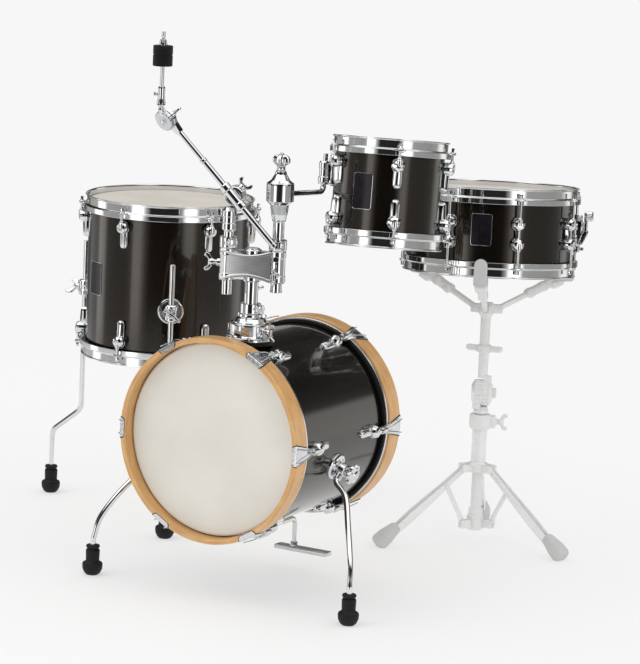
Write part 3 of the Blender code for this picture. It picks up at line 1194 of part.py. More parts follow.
def add_tripod(kit):
    kit.body("stand", STAND_PLACE + Vector((0.0, 0.0, STAND_CROWN_HEIGHT)), "kit")
    low = STAND_CROWN_HEIGHT - STAND_CROWN_THICKNESS / 2
    high = STAND_CROWN_HEIGHT + STAND_CROWN_THICKNESS / 2
    bore = STAND_INNER_RADIUS + GAP
    profile = [(bore, STAND_CLAMP_TOP), (STAND_CLAMP_RADIUS, STAND_CLAMP_TOP),
               (STAND_CLAMP_RADIUS, STAND_MAIN_TOP), (STAND_MAIN_RADIUS, STAND_MAIN_TOP),
               (STAND_MAIN_RADIUS, high), (STAND_CROWN_RADIUS, high),
               (STAND_CROWN_RADIUS, low), (bore, low)]
    crown = moved(turned(profile, 18), Matrix.Translation(STAND_PLACE))
    slots = upright_slots(low - 0.01, high + 0.01, STAND_LEG_WIDTH + 2 * GAP, STAND_MAIN_RADIUS + 0.0060, 0.06)
    tall = (STAND_MAIN_TOP + STAND_CLAMP_TOP) / 2
    screw = moved(wing_screw(0.012), stand_frame(-60) @ Matrix.Translation((STAND_CLAMP_RADIUS, 0.0, tall))
                  @ Matrix.Rotation(math.pi / 2, 4, "Y"))
    kit.node("stand_tube", "pale_steel", "stand", cut(united(crown, screw), slots))

    kit.body("stand_hub", STAND_PLACE + Vector((0.0, 0.0, STAND_HUB_HEIGHT)), "stand")
    low = STAND_HUB_HEIGHT - STAND_HUB_THICKNESS / 2
    high = STAND_HUB_HEIGHT + STAND_HUB_THICKNESS / 2
    profile = [(0.0, STAND_ROD_TOP), (STAND_INNER_RADIUS, STAND_ROD_TOP), (STAND_INNER_RADIUS, high),
               (STAND_HUB_RADIUS, high), (STAND_HUB_RADIUS, low), (0.0, low)]
    hub = moved(turned(profile, 18), Matrix.Translation(STAND_PLACE))
    slots = upright_slots(low - 0.01, high + 0.01, STAND_STRUT_WIDTH + 2 * GAP, STAND_INNER_RADIUS + 0.0060, 0.06,
                          STAND_STRUT_ASIDE)
    kit.node("stand_hub", "pale_steel", "stand_hub", cut(hub, slots))

    for number, angle in enumerate(STAND_LEG_ANGLES, 1):
        place = stand_frame(angle)
        kit.body(f"stand_leg_{number}", place @ Vector((STAND_LEG_TOP[0], 0.0, STAND_LEG_TOP[1])), "stand")
        half = STAND_LEG_WIDTH / 2
        leg = moved(plate(bar_outline(STAND_LEG_TOP, STAND_LEG_END, STAND_LEG_HALF_DEPTH), -half, half), STANDING)
        size = STAND_FOOT_SIZE
        foot = block(size, (STAND_LEG_END[0], 0.0, size.z / 2))
        kit.node(f"stand_leg_{number}", "pale_steel", f"stand_leg_{number}", moved(united(leg, foot), place))
        pivot = Vector((STAND_PIVOT_RADIUS, STAND_STRUT_ASIDE, STAND_HUB_HEIGHT))
        kit.body(f"stand_strut_{number}", place @ pivot, "stand_hub")
        outline = bar_outline((STAND_PIVOT_RADIUS, STAND_HUB_HEIGHT), STAND_STRUT_END, STAND_STRUT_HALF_DEPTH)
        half = STAND_STRUT_WIDTH / 2
        strut = moved(plate(outline, -half, half), Matrix.Translation((0.0, STAND_STRUT_ASIDE, 0.0)) @ STANDING)
        kit.node(f"stand_strut_{number}", "pale_steel", f"stand_strut_{number}", moved(strut, place))


TILT_AXIS = Vector((SNARE_AXIS.y, -SNARE_AXIS.x, 0.0)).normalized()
TILT_CENTRE = STAND_PLACE + Vector((0.0, 0.0, STAND_TILT_HEIGHT))
BASKET_PLACE = frame(TILT_CENTRE, SNARE_AXIS)
BASKET_RISE = (SNARE_BOTTOM - TILT_CENTRE).dot(SNARE_AXIS)


def add_stand_top(kit):
    """Upper tube with one half of the tilter, and the basket's stem with the other."""
    kit.body("stand_upper", STAND_PLACE + Vector((0.0, 0.0, STAND_CLAMP_TOP)), "stand")
    low = STAND_CLAMP_TOP + 8 * GAP
    socket_top = STAND_TILT_HEIGHT - STAND_TILT_RADIUS - 5 * GAP
    profile = [(0.0, socket_top), (0.0125, socket_top), (0.0150, low + 0.006), (0.0150, low),
               (STAND_INNER_RADIUS, low), (STAND_INNER_RADIUS, STAND_UPPER_BOTTOM), (0.0, STAND_UPPER_BOTTOM)]
    stem = moved(turned(profile, 16), Matrix.Translation(STAND_PLACE))
    across = frame(TILT_CENTRE, TILT_AXIS, (0.0, 0.0, 1.0))
    disc = moved(cylinder(STAND_TILT_RADIUS, -STAND_TILT_THICKNESS, -GAP / 2, 18), across)
    tall = STAND_TILT_RADIUS + 0.006
    neck = block((0.0100, 0.0100, tall), (0.0, 0.0, -tall / 2))
    neck = moved(neck, frame(TILT_CENTRE - TILT_AXIS * 0.0062, (0.0, 0.0, 1.0), TILT_AXIS))
    kit.node("stand_upper_tube", "pale_steel", "stand_upper", united(stem, disc, neck))

    kit.body("basket", TILT_CENTRE, "stand_upper")
    disc = moved(cylinder(STAND_TILT_RADIUS, GAP / 2, STAND_TILT_THICKNESS, 18), across)
    wing = moved(wing_screw(0.010), across @ Matrix.Translation((0.0, 0.0, STAND_TILT_THICKNESS)))
    pivot = BASKET_RISE - BASKET_PIVOT_BELOW
    start = STAND_TILT_RADIUS + 0.0035
    profile = [(0.0, pivot + 0.011), (BASKET_HUB_RADIUS, pivot + 0.011), (BASKET_HUB_RADIUS, pivot - 0.011),
               (0.0110, pivot - 0.014), (0.0110, STAND_NUT_START + 0.0165), (0.0155, STAND_NUT_START + 0.0165),
               (0.0155, STAND_NUT_START), (0.0095, STAND_NUT_START), (0.0095, start), (0.0, start)]
    stem = moved(turned(profile, 16), BASKET_PLACE)
    bar = block((STAND_NUT_BAR, 0.0090, 0.0120), (0.0, 0.0, STAND_NUT_START + 0.0082))
    neck = block((0.0100, 0.0100, start + 0.004), (0.0, 0.0, (start + 0.004) / 2))
    neck = moved(neck, frame(TILT_CENTRE + TILT_AXIS * 0.0062, SNARE_AXIS, TILT_AXIS))
    slots = []
    for azimuth in BASKET_AZIMUTHS:
        depth = 0.05 - BASKET_PIVOT_RADIUS + 0.0075
        slot = block((depth, BASKET_ARM_WIDTH + 2 * GAP, 0.05),
                     (BASKET_PIVOT_RADIUS - 0.0075 + depth / 2, 0.0, pivot))
        slots.append(moved(slot, BASKET_PLACE @ Matrix.Rotation(math.radians(azimuth - 90), 4, "Z")))
    stem = united(disc, wing, neck, stem, moved(bar, BASKET_PLACE))
    kit.node("stand_basket_hub", "pale_steel", "basket", cut(stem, gathered(slots)))


def add_basket_arms(kit):
    """Arms that cradle the snare drum's lower hoop on padded hooks."""
    start = (BASKET_PIVOT_RADIUS, BASKET_RISE - BASKET_PIVOT_BELOW)
    seat = BASKET_RISE - GAP
    end = (PAD_START + 0.006, seat - 0.008)
    lip = SNARE_RADIUS + HOOP_FLARE + 2 * GAP
    hook = [(PAD_START, seat - PAD_THICKNESS), (PAD_END, seat - PAD_THICKNESS),
            (PAD_END + 0.0020, seat + PAD_RISE), (lip + 0.0035, seat + PAD_RISE), (lip + 0.0010, seat + 0.004),
            (lip - 0.002, seat),
            (PAD_START + 0.002, seat)]
    for number, azimuth in enumerate(BASKET_AZIMUTHS, 1):
        place = BASKET_PLACE @ Matrix.Rotation(math.radians(azimuth - 90), 4, "Z")
        kit.body(f"basket_arm_{number}", place @ Vector((start[0], 0.0, start[1])), "basket")
        half = BASKET_ARM_WIDTH / 2
        arm = moved(plate(bar_outline(start, end, BASKET_ARM_HALF_DEPTH), -half, half), STANDING)
        pad = moved(plate(hook, -PAD_HALF_WIDTH, PAD_HALF_WIDTH), STANDING)
        kit.node(f"stand_arm_{number}", "pale_steel", f"basket_arm_{number}", moved(united(arm, pad), place))


# Snare drum


def strainer_body():
    size = STRAINER_SIZE
    block_body = block(size, (0.0, size.y / 2 - SEAT, 0.0))
    knob = moved(cylinder(0.0060, size.z / 2 - SEAT, size.z / 2 + 0.010, 10),
                 Matrix.Translation((0.0, size.y / 2 - SEAT, 0.0)))
    return moved(united(block_body, knob), SNARE.at(STRAINER_AZIMUTH))


def butt_plate():
    size = STRAINER_SIZE
    return moved(block((size.x, 0.6 * size.y, 0.7 * size.z), (0.0, 0.3 * size.y - SEAT, 0.0)),
                 SNARE.at(STRAINER_AZIMUTH + 180))


def strainer_lever():
    """Throw-off lever standing along the strainer's face, with a knob at its end."""
    face = STRAINER_SIZE.y - SEAT + GAP
    low = -STRAINER_SIZE.z / 2 + 0.004
    lever = block((LEVER_WIDTH, LEVER_THICKNESS, LEVER_LENGTH),
                  (0.0, face + LEVER_THICKNESS / 2, low + LEVER_LENGTH / 2))
    knob_place = Matrix.Translation((0.0, face + SEAT, low + LEVER_LENGTH - 0.008))
    knob = moved(cylinder(0.0085, 0.0, 0.0120, 12), knob_place @ Matrix.Rotation(-math.pi / 2, 4, "X"))
    return moved(united(lever, knob), SNARE.at(STRAINER_AZIMUTH))


def snare_wires():
    """Row of wires between two end plates, just under the lower head."""
    top = -(SNARE.half + GAP + FILM + GAP)
    wires = []
    step = WIRE_BED / WIRE_COUNT
    reach = WIRE_SPAN / 2
    for k in range(WIRE_COUNT):
        across = step * (k + 0.5) - WIRE_BED / 2
        wire = cylinder(WIRE_RADIUS, -reach + 0.004, reach - 0.004, 4, 45)
        place = Matrix.Translation((0.0, across, top - WIRE_RADIUS))
        wires.append(moved(wire, place @ Matrix.Rotation(math.pi / 2, 4, "Y")))
    plates = []
    for side in (1, -1):
        plates.append(block((WIRE_PLATE_LENGTH, WIRE_BED, 1.2 * WIRE_RADIUS),
                            (side * (reach - WIRE_PLATE_LENGTH / 2), 0.0, top - WIRE_RADIUS)))
    turn = Matrix.Rotation(math.radians(STRAINER_AZIMUTH - 90), 4, "Z")
    return moved(united(gathered(plates), gathered(wires)), SNARE.place @ turn)


def add_snare(kit):
    kit.body("snare", SNARE_BOTTOM, "basket")
    lug_end = SNARE_LUG_LENGTH / 2
    lugs = []
    for azimuth in SNARE.lug_azimuths:
        lugs.append(moved(tube_lug(SNARE_LUG_LENGTH, SNARE_LUG_BOSS_SPACING), SNARE.at(azimuth)))
    add_drum(kit, "snare", "snare", SNARE, lugs, lug_end, [gathered([strainer_body(), butt_plate()])])
    kit.node("snare_wires", "steel_wire", "snare", snare_wires())
    hinge = SNARE.at(STRAINER_AZIMUTH) @ Vector((0.0, STRAINER_SIZE.y, 0.004 - STRAINER_SIZE.z / 2))
    kit.body("snare_lever", hinge, "snare")
    kit.node("snare_lever", "chrome", "snare_lever", strainer_lever())


def build_kit():
    clear_scene()
    kit = Kit()
    kit.body("kit", KIT_CENTRE)
    add_bass_drum(kit)
    add_spurs(kit)
    add_riser(kit)
    add_post(kit)
    add_clamp(kit)
    add_cymbal_tube(kit)
    add_boom(kit)
    add_cymbal_tilter(kit)
    add_tom_arm(kit)
    add_tom(kit)
    add_floor_tom(kit)
    add_tripod(kit)
    add_stand_top(kit)
    add_basket_arms(kit)
    add_snare(kit)


build_kit()
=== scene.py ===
"""Looks of the drum kit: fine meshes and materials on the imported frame, with floor, light and camera."""

import math

import bmesh
import bpy
from mathutils import Matrix, Vector


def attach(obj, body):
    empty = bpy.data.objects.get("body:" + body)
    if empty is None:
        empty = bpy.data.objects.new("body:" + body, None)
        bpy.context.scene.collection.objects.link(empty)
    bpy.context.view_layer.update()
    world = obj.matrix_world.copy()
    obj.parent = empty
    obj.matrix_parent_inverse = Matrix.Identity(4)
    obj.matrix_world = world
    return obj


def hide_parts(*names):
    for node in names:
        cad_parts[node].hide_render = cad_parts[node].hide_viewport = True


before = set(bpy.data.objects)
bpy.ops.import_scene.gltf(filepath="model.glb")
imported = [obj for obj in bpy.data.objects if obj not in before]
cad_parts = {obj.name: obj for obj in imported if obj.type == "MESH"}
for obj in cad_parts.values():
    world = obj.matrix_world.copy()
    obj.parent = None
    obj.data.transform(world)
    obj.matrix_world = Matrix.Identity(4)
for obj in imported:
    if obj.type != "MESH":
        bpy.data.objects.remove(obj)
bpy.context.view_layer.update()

KIT_CENTRE = Vector((-0.194, 0.29715, 0))
TO_FRAME = Matrix.Translation(-KIT_CENTRE)
GAP = 0.0003
LONG_SPAN, HOLD = 0.004, 0.0005
ON_AXIS, TINY_CORNER = 1e-07, 2e-05

# Drums
BASS_RADIUS, BASS_LENGTH, BASS_AXIS_HEIGHT = 0.1778, 0.33, 0.3075
BASS_HOOP_INNER, BASS_HOOP_OUTER, BASS_HOOP_WIDTH, BASS_HOOP_OVERHANG = 0.1815, 0.1915, 0.038, 0.025
BASS_LUG_ANGLES = 30, 90, 150, 210, 270, 330
FLESH_HOOP_OUTER = 0.1885
CLAW_TAIL = 0.033
BASS_ROD_RADIUS, BASS_ROD_SHOWN = 0.003, 0.005
TOM_RADIUS, TOM_LENGTH, TOM_LUGS, TOM_LUG_AZIMUTH = 0.1016, 0.178, 5, 37.6
TOM_TOP = Vector((0.1727, 0.1369, 0.8566))
TOM_AXIS = Vector((-0.0319, 0.1186, 0.9924)).normalized()
FLOOR_TOM_RADIUS, FLOOR_TOM_LENGTH, FLOOR_TOM_LUGS, FLOOR_TOM_LUG_AZIMUTH = 0.165, 0.305, 6, 1.0
FLOOR_TOM_TOP = Vector((-0.49, 0.41, 0.6545))
SNARE_RADIUS, SNARE_LENGTH, SNARE_LUGS, SNARE_LUG_AZIMUTH = 0.165, 0.152, 8, 0.4
SNARE_BOTTOM = Vector((0.1457, 0.607, 0.55))
SNARE_AXIS = Vector((-0.0357, 0.0686, 0.997)).normalized()
ROD_OFFSET, ROD_RADIUS = 0.015, 0.0027
LUG_BELOW_EDGE = 0.0265
HOOP_RISE, HOOP_BAND, HOOP_SKIRT = 0.012, 0.019, 0.012
HOOP_CLEARANCE, HOOP_FLARE, EAR_REACH = 0.0025, 0.0115, 0.0205
DRUM_WALL, FILM_THICKNESS = 0.0065, 0.0005


# Frames and directions


def plan_direction(azimuth):
    turn = math.radians(azimuth)
    return Vector((math.sin(turn), -math.cos(turn), 0))


def frame(origin, z_axis, x_hint=(1, 0, 0)):
    """Matrix whose Z runs along z_axis and whose X is as near as it can be to x_hint."""
    z = Vector(z_axis).normalized()
    y = z.cross(Vector(x_hint)).normalized()
    x = y.cross(z)
    return put(Vector(origin)) @ Matrix((x, y, z)).transposed().to_4x4()


def shift(x=0, y=0, z=0):
    return put((x, y, z))


def spin(degrees, axis="Z"):
    return Matrix.Rotation(math.radians(degrees), 4, axis)


def put(point):
    return Matrix.Translation(point)


def up(height):
    return Vector((0, 0, height))


def mirrored(side):
    return Matrix.Diagonal((1, 1, side, 1))


STANDING, OUTWARD = spin(90, "X"), spin(-90, "X")


# Shapes, each returned as a closed bmesh


def closed(bm):
    bmesh.ops.recalc_face_normals(bm, faces=bm.faces)
    return bm


def moved(bm, matrix):
    bmesh.ops.transform(bm, matrix=matrix, verts=bm.verts)
    if matrix.to_3x3().determinant() < 0:
        bmesh.ops.reverse_faces(bm, faces=bm.faces)
    return bm


def joined(*shapes):
    whole = bmesh.new()
    for shape in shapes:
        mesh = bpy.data.meshes.new("piece")
        shape.to_mesh(mesh)
        shape.free()
        whole.from_mesh(mesh)
        bpy.data.meshes.remove(mesh)
    return whole


def fillet(points, radius, steps=3, ring=False):
    """The same outline with its corners rounded by up to the given radius."""
    result = []
    count = len(points)
    for i, point in enumerate(points):
        here = Vector(point)
        if not ring and i in (0, count - 1):
            result.append(tuple(here))
            continue
        before, after = Vector(points[i - 1]), Vector(points[(i + 1) % count])
        into, out = before - here, after - here
        angle = into.angle(out, math.pi)
        reach = min(radius / max(math.tan(angle / 2), 0.001), 0.42 * into.length, 0.42 * out.length)
        if angle > math.radians(172) or reach < TINY_CORNER:
            result.append(tuple(here))
            continue
        a, b = here + into.normalized() * reach, here + out.normalized() * reach
        for step in range(steps + 1):
            t = step / steps
            result.append(tuple(a * (1 - t) ** 2 + here * 2 * t * (1 - t) + b * t * t))
    return result


def held(profile):
    """The same profile with a point close to each end of a long span, so that its shading stays straight."""
    is_ring = profile[0][0] > ON_AXIS
    points = []
    for i, here in enumerate(profile):
        points.append(here)
        if i + 1 == len(profile) and (not is_ring):
            break
        there = profile[(i + 1) % len(profile)]
        span = math.hypot(there[0] - here[0], there[1] - here[1])
        if span > LONG_SPAN:
            for share in (HOLD / span, 1 - HOLD / span):
                points.append((here[0] + (there[0] - here[0]) * share, here[1] + (there[1] - here[1]) * share))
    return points


def turned(profile, sides=64, radius_at=None):
    """Solid or ring turned about Z from (radius, height) points, with an arc-length UV map."""
    profile = held(profile)
    bm = bmesh.new()
    layer = bm.loops.layers.uv.new("UVMap")
    is_ring = profile[0][0] > ON_AXIS
    rows = []
    for radius, height in profile:
        if radius < ON_AXIS:
            rows.append([bm.verts.new((0, 0, height))] * (sides + 1))
            continue
        row = []
        for k in range(sides):
            angle = 2 * math.pi * k / sides
            reach = radius if radius_at is None else radius_at(radius, height, angle)
            row.append(bm.verts.new((reach * math.cos(angle), reach * math.sin(angle), height)))
        rows.append(row + [row[0]])
    lengths = [0]
    order = list(range(len(rows))) + ([0] if is_ring else [])
    for i, j in zip(order, order[1:]):
        (r0, z0), (r1, z1) = (profile[i], profile[j])
        lengths.append(lengths[-1] + math.hypot(r1 - r0, z1 - z0))
    around = 2 * math.pi * max((radius for radius, _ in profile))
    for n, (i, j) in enumerate(zip(order, order[1:])):
        for k in range(sides):
            corners = [(rows[i][k], k, lengths[n]), (rows[i][k + 1], k + 1, lengths[n]),
                (rows[j][k + 1], k + 1, lengths[n + 1]), (rows[j][k], k, lengths[n + 1])]
            kept = []
            for corner in corners:
                if corner[0] not in [other[0] for other in kept]:
                    kept.append(corner)
            if len(kept) < 3:
                continue
            face = bm.faces.new([corner[0] for corner in kept])
            for loop, corner in zip(face.loops, kept):
                loop[layer].uv = around * corner[1] / sides, corner[2]
    return closed(bm)


def raised(profile, height):
    """The same outline, whose heights count from the given one."""
    return [(radius, height + rise) for radius, rise in profile]


def on_axis(profile):
    """The same profile with its ends led to the axis, where they aren't on it."""
    if profile[0][0] == 0:
        return profile
    return [(0, profile[0][1]), *profile, (0, profile[-1][1])]


def ring_shape(profile, radius, steps, sides=64):
    return turned(fillet(profile, radius, steps, ring=True), sides)


def solid_turned(profile, radius=0.0008, sides=48, steps=3):
    """Turned solid with rounded edges; a profile that doesn't start on the axis is led to it."""
    return turned(fillet(on_axis(profile), radius, steps), sides)


def rod_shape(radius, low, high, sides=24, edge=0.0008):
    edge = min(edge, 0.4 * radius, 0.4 * (high - low))
    return solid_turned([(radius, high), (radius, low)], edge, sides)


def tube_shape(inner, outer, low, high, sides=32, edge=0.0006):
    return ring_shape([(inner, high), (outer, high), (outer, low), (inner, low)], edge, 2, sides)


def fluted(profile, sides, count, depth, low, high, radius=0.0008):
    """Turned knob whose rim has finger flutes between two heights."""
    def radius_at(reach, height, angle):
        if not low <= height <= high:
            return reach
        share = 0.5 + 0.5 * math.cos(count * angle)
        return reach - depth * share ** 2
    return turned(fillet(on_axis(profile), radius, 2), sides, radius_at)


def ball(radius, sides=32, rings=16):
    profile = [(radius * math.sin(math.pi * i / rings), radius * math.cos(math.pi * i / rings))
        for i in range(rings + 1)]
    profile[0], profile[-1] = (0, radius), (0, -radius)
    return turned(profile, sides)


def bevelled(bm, width, segments=2, angle=30):
    limit = math.radians(angle)
    edges = [e for e in bm.edges if len(e.link_faces) == 2 and e.calc_face_angle(0) > limit]
    bmesh.ops.bevel(bm, geom=edges, offset=width, segments=segments, profile=0.5, affect="EDGES", clamp_overlap=True)
    return closed(bm)


def block(size, centre=(0, 0, 0), edge=0.001, segments=2):
    bm = bmesh.new()
    bmesh.ops.create_cube(bm, size=1.0)
    bmesh.ops.scale(bm, vec=Vector(size), verts=bm.verts)
    bmesh.ops.translate(bm, vec=Vector(centre), verts=bm.verts)
    return bevelled(bm, edge, segments)


def plate(outline, low, high, edge=0.0006, segments=2):
    """Flat plate with the given outline in XY, between two heights."""
    bm = bmesh.new()
    face = bm.faces.new([bm.verts.new((x, y, low)) for x, y in outline])
    grown = bmesh.ops.extrude_face_region(bm, geom=[face])
    top = [item for item in grown["geom"] if isinstance(item, bmesh.types.BMVert)]
    bmesh.ops.translate(bm, vec=(0, 0, high - low), verts=top)
    closed(bm)
    return bevelled(bm, edge, segments, 50) if edge else bm


def arc(centre, radius, first, last, steps):
    points = []
    for step in range(steps + 1):
        angle = math.radians(first + (last - first) * step / steps)
        points.append((centre[0] + radius * math.cos(angle), centre[1] + radius * math.sin(angle)))
    return points


def bar_outline(start, end, half_depth, steps=8):
    along = math.degrees(math.atan2(end[1] - start[1], end[0] - start[0]))
    return arc(end, half_depth, along - 90, along + 90, steps) + arc(start, half_depth, along + 90, along + 270,
        steps)


def wing_pair(right, half_thick, edge):
    """Two wings in XY, the left one the mirror image of the right one."""
    outlines = [fillet([(side * x, y) for x, y in right], 0.0028, 4, ring=True) for side in (1, -1)]
    return joined(*[plate(outline, -half_thick, half_thick, edge, 3) for outline in (outlines[0], outlines[1][::-1])])


def lofted(sections):
    """Closed body through rings of equal point count."""
    bm = bmesh.new()
    rings = [[bm.verts.new(point) for point in section] for section in sections]
    count = len(rings[0])
    for lower, upper in zip(rings, rings[1:]):
        for i in range(count):
            j = (i + 1) % count
            bm.faces.new((lower[i], lower[j], upper[j], upper[i]))
    bm.faces.new(list(reversed(rings[0])))
    bm.faces.new(rings[-1])
    return closed(bm)


def smooth_route(points, per_span=8):
    route = [Vector(point) for point in points]
    ends = [2 * route[0] - route[1]] + route + [2 * route[-1] - route[-2]]
    result = []
    for a, b, c, d in zip(ends, ends[1:], ends[2:], ends[3:]):
        for step in range(per_span):
            t = step / per_span
            result.append(0.5 * (2 * b + (c - a) * t + (2 * a - 5 * b + 4 * c - d) * t * t
                + (3 * b - a - 3 * c + d) * t ** 3))
    return result + [route[-1]]


def rounded_corner(before, corner, after, radius, steps=10):
    before, corner, after = Vector(before), Vector(corner), Vector(after)
    into, out = (corner - before).normalized(), (after - corner).normalized()
    turn = into.angle(out)
    setback = radius * math.tan(turn / 2)
    side = (out - into * out.dot(into)).normalized()
    centre = corner - into * setback + side * radius
    return [centre + radius * (math.sin(turn * s / steps) * into - math.cos(turn * s / steps) * side)
        for s in range(steps + 1)]


def round_bar(route, radius, sides=20, end=0.0008):
    """Bar of round section along a route, with rounded ends."""
    route = [Vector(point) for point in route]
    radii = [radius] * len(route)
    for index, beyond in ((0, 1), (len(route) - 1, -1)):
        inward = (route[index + beyond] - route[index]).normalized()
        route.insert(index + 1 if index == 0 else index, route[index] + inward * end)
        radii.insert(index + 1 if index == 0 else index, radius)
    radii[0] = radii[-1] = radius - end
    hint = (route[1] - route[0]).orthogonal().normalized()
    sections = []
    for i, point in enumerate(route):
        ahead = (route[min(i + 1, len(route) - 1)] - route[min(i, len(route) - 2)]).normalized()
        behind = (route[max(i, 1)] - route[max(i - 1, 0)]).normalized()
        tangent = (ahead + behind).normalized()
        hint = (hint - tangent * hint.dot(tangent)).normalized()
        other = tangent.cross(hint)
        sections.append([point + radii[i] * (math.cos(2 * math.pi * k / sides) * hint
            + math.sin(2 * math.pi * k / sides) * other) for k in range(sides)])
    return lofted(sections)


def ribbon(path, crown=0.35, points=9):
    """Cast strap along a path of (along, out, half_width, thickness), with a crowned outer face."""
    sections = []
    for i, (along, out, half, thick) in enumerate(path):
        a, b = path[max(i - 1, 0)], path[min(i + 1, len(path) - 1)]
        tangent = Vector((b[0] - a[0], b[1] - a[1])).normalized()
        normal = Vector((-tangent.y, tangent.x))
        section = []
        for k in range(points):
            t = -1 + 2 * k / (points - 1)
            rise = thick * (1 - crown * t * t) if abs(t) < 0.999 else thick * (1 - crown) * 0.75
            section.append((half * t, out + normal.y * rise, along + normal.x * rise))
        section += [(half * 0.97, out, along), (-half * 0.97, out, along)]
        sections.append(section)
    return lofted(sections)


# Materials


def ramp_node(tree, factor, stops):
    """Colour ramp with a colour or a grey at each place."""
    node = tree.nodes.new("ShaderNodeValToRGB")
    elements = node.color_ramp.elements
    while len(elements) < len(stops):
        elements.new(0.5)
    for element, (place, color) in zip(elements, stops):
        element.position = place
        element.color = (*color, 1.0) if isinstance(color, tuple) else (color, color, color, 1.0)
    tree.links.new(factor, node.inputs["Fac"])
    return node.outputs["Color"]


def mix_node(tree, blend, factor, a, b):
    """Colour mix whose inputs may be sockets, colours or plain greys."""
    node = tree.nodes.new("ShaderNodeMix")
    node.data_type, node.blend_type = "RGBA", blend
    colors = [socket for socket in node.inputs if socket.type == "RGBA"]
    for socket, value in ((node.inputs[0], factor), (colors[0], a), (colors[1], b)):
        if isinstance(value, float):
            socket.default_value = (value, value, value, 1.0) if socket.type == "RGBA" else value
        elif isinstance(value, tuple):
            socket.default_value = *value, 1.0
        else:
            tree.links.new(value, socket)
    return [socket for socket in node.outputs if socket.type == "RGBA"][0]


def range_node(tree, value, **ends):
    """Map range node; an end's name is that of its socket."""
    node = tree.nodes.new("ShaderNodeMapRange")
    for name, end in ends.items():
        node.inputs[name.replace("_", " ").title()].default_value = end
    tree.links.new(value, node.inputs["Value"])
    return node


class Look:
    """Node material that is built in steps: a shader, then patterns that vary it."""

    def __init__(self, name, color, metallic=0.0, roughness=0.5, coat=0.0, coat_roughness=0.03, specular=0.5):
        self.material = bpy.data.materials.new(name)
        self.material.use_nodes = True
        self.tree = self.material.node_tree
        self.shader = self.tree.nodes["Principled BSDF"]
        self.shader.inputs["Base Color"].default_value = *color, 1.0
        self.shader.inputs["Metallic"].default_value = metallic
        self.shader.inputs["Roughness"].default_value = roughness
        self.shader.inputs["Coat Weight"].default_value = coat
        self.shader.inputs["Coat Roughness"].default_value = coat_roughness
        self.shader.inputs["Specular IOR Level"].default_value = specular
        self.position = self.tree.nodes.new("ShaderNodeTexCoord")

    def link(self, start, end):
        self.tree.links.new(start, end)

    def scaled(self, scale, source="Object"):
        mapping = self.tree.nodes.new("ShaderNodeMapping")
        mapping.inputs["Scale"].default_value = scale
        self.link(self.position.outputs[source], mapping.inputs["Vector"])
        return mapping.outputs["Vector"]

    def noise(self, scale, detail=3.0, vector=None, rough=0.5):
        node = self.tree.nodes.new("ShaderNodeTexNoise")
        node.inputs["Scale"].default_value = scale
        node.inputs["Detail"].default_value = detail
        node.inputs["Roughness"].default_value = rough
        self.link(vector or self.position.outputs["Object"], node.inputs["Vector"])
        return node.outputs["Fac"]

    def ramp(self, factor, *stops):
        return ramp_node(self.tree, factor, stops)

    def span(self, factor, low, high):
        return range_node(self.tree, factor, to_min=low, to_max=high).outputs["Result"]

    def mixed(self, factor, a, b, blend="MIX"):
        return mix_node(self.tree, blend, factor, a, b)

    def color(self, socket):
        self.link(socket, self.shader.inputs["Base Color"])
        return self

    def roughness(self, socket):
        self.link(socket, self.shader.inputs["Roughness"])
        return self

    def bump(self, height, strength, distance):
        node = self.tree.nodes.new("ShaderNodeBump")
        node.inputs["Strength"].default_value = strength
        node.inputs["Distance"].default_value = distance
        self.link(height, node.inputs["Height"])
        self.link(node.outputs["Normal"], self.shader.inputs["Normal"])
        return self


def lacquer():
    """Dark brown-black metallic lacquer: fine flakes under a clear coat."""
    look = Look("lacquer", (0.018, 0.014, 0.01), metallic=0.8, roughness=0.3, coat=1.0, coat_roughness=0.03)
    look.shader.inputs["Coat IOR"].default_value = 1.4
    flakes = look.noise(900.0, 1.0)
    drift = look.noise(3.0, 2.0)
    base = look.ramp(flakes, (0.35, (0.007, 0.005, 0.003)), (0.55, (0.018, 0.0132, 0.0082)),
        (0.72, (0.056, 0.043, 0.029)))
    look.color(look.mixed(look.span(drift, 0, 0.35), base, (0.015, 0.011, 0.0075)))
    look.roughness(look.span(flakes, 0.17, 0.28))
    return look.bump(look.noise(700.0, 1.0), 0.05, 0.0002)


def mottled(name, base, scale, stops, rough, grain=None, **shader):
    """Look with one cloudy pattern in its colour and roughness, and a grain as its surface."""
    look = Look(name, base, **shader)
    cloud = look.noise(*scale)
    look.color(look.ramp(cloud, *stops))
    look.roughness(look.span(cloud, *rough))
    return look.bump(look.noise(grain[0], 2.0), *grain[1:]) if grain else look


def chrome(name="chrome", tint=(0.77, 0.78, 0.79), rough=0.035, wide=0.04, grain=(60.0, 0.05, 0.0004)):
    """Polished plating with faint smears and ripple, or with the hammered face of a casting."""
    stops = (0.3, tuple((0.93 * c for c in tint))), (0.7, tint)
    return mottled(name, tint, (38.0, 4.0), stops, (rough, rough + wide), grain, metallic=1.0, roughness=rough)


def cast_plate():
    """Satin cast cover of the clamp: brushed across, bright."""
    look = Look("satin_cast", (0.66, 0.67, 0.68), metallic=1.0, roughness=0.3)
    brushed = look.noise(60.0, 4.0, look.scaled((1.0, 1.0, 18.0)))
    look.color(look.ramp(brushed, (0.3, (0.58, 0.59, 0.6)), (0.7, (0.74, 0.75, 0.76))))
    look.roughness(look.span(brushed, 0.24, 0.4))
    return look.bump(brushed, 0.12, 0.0002)


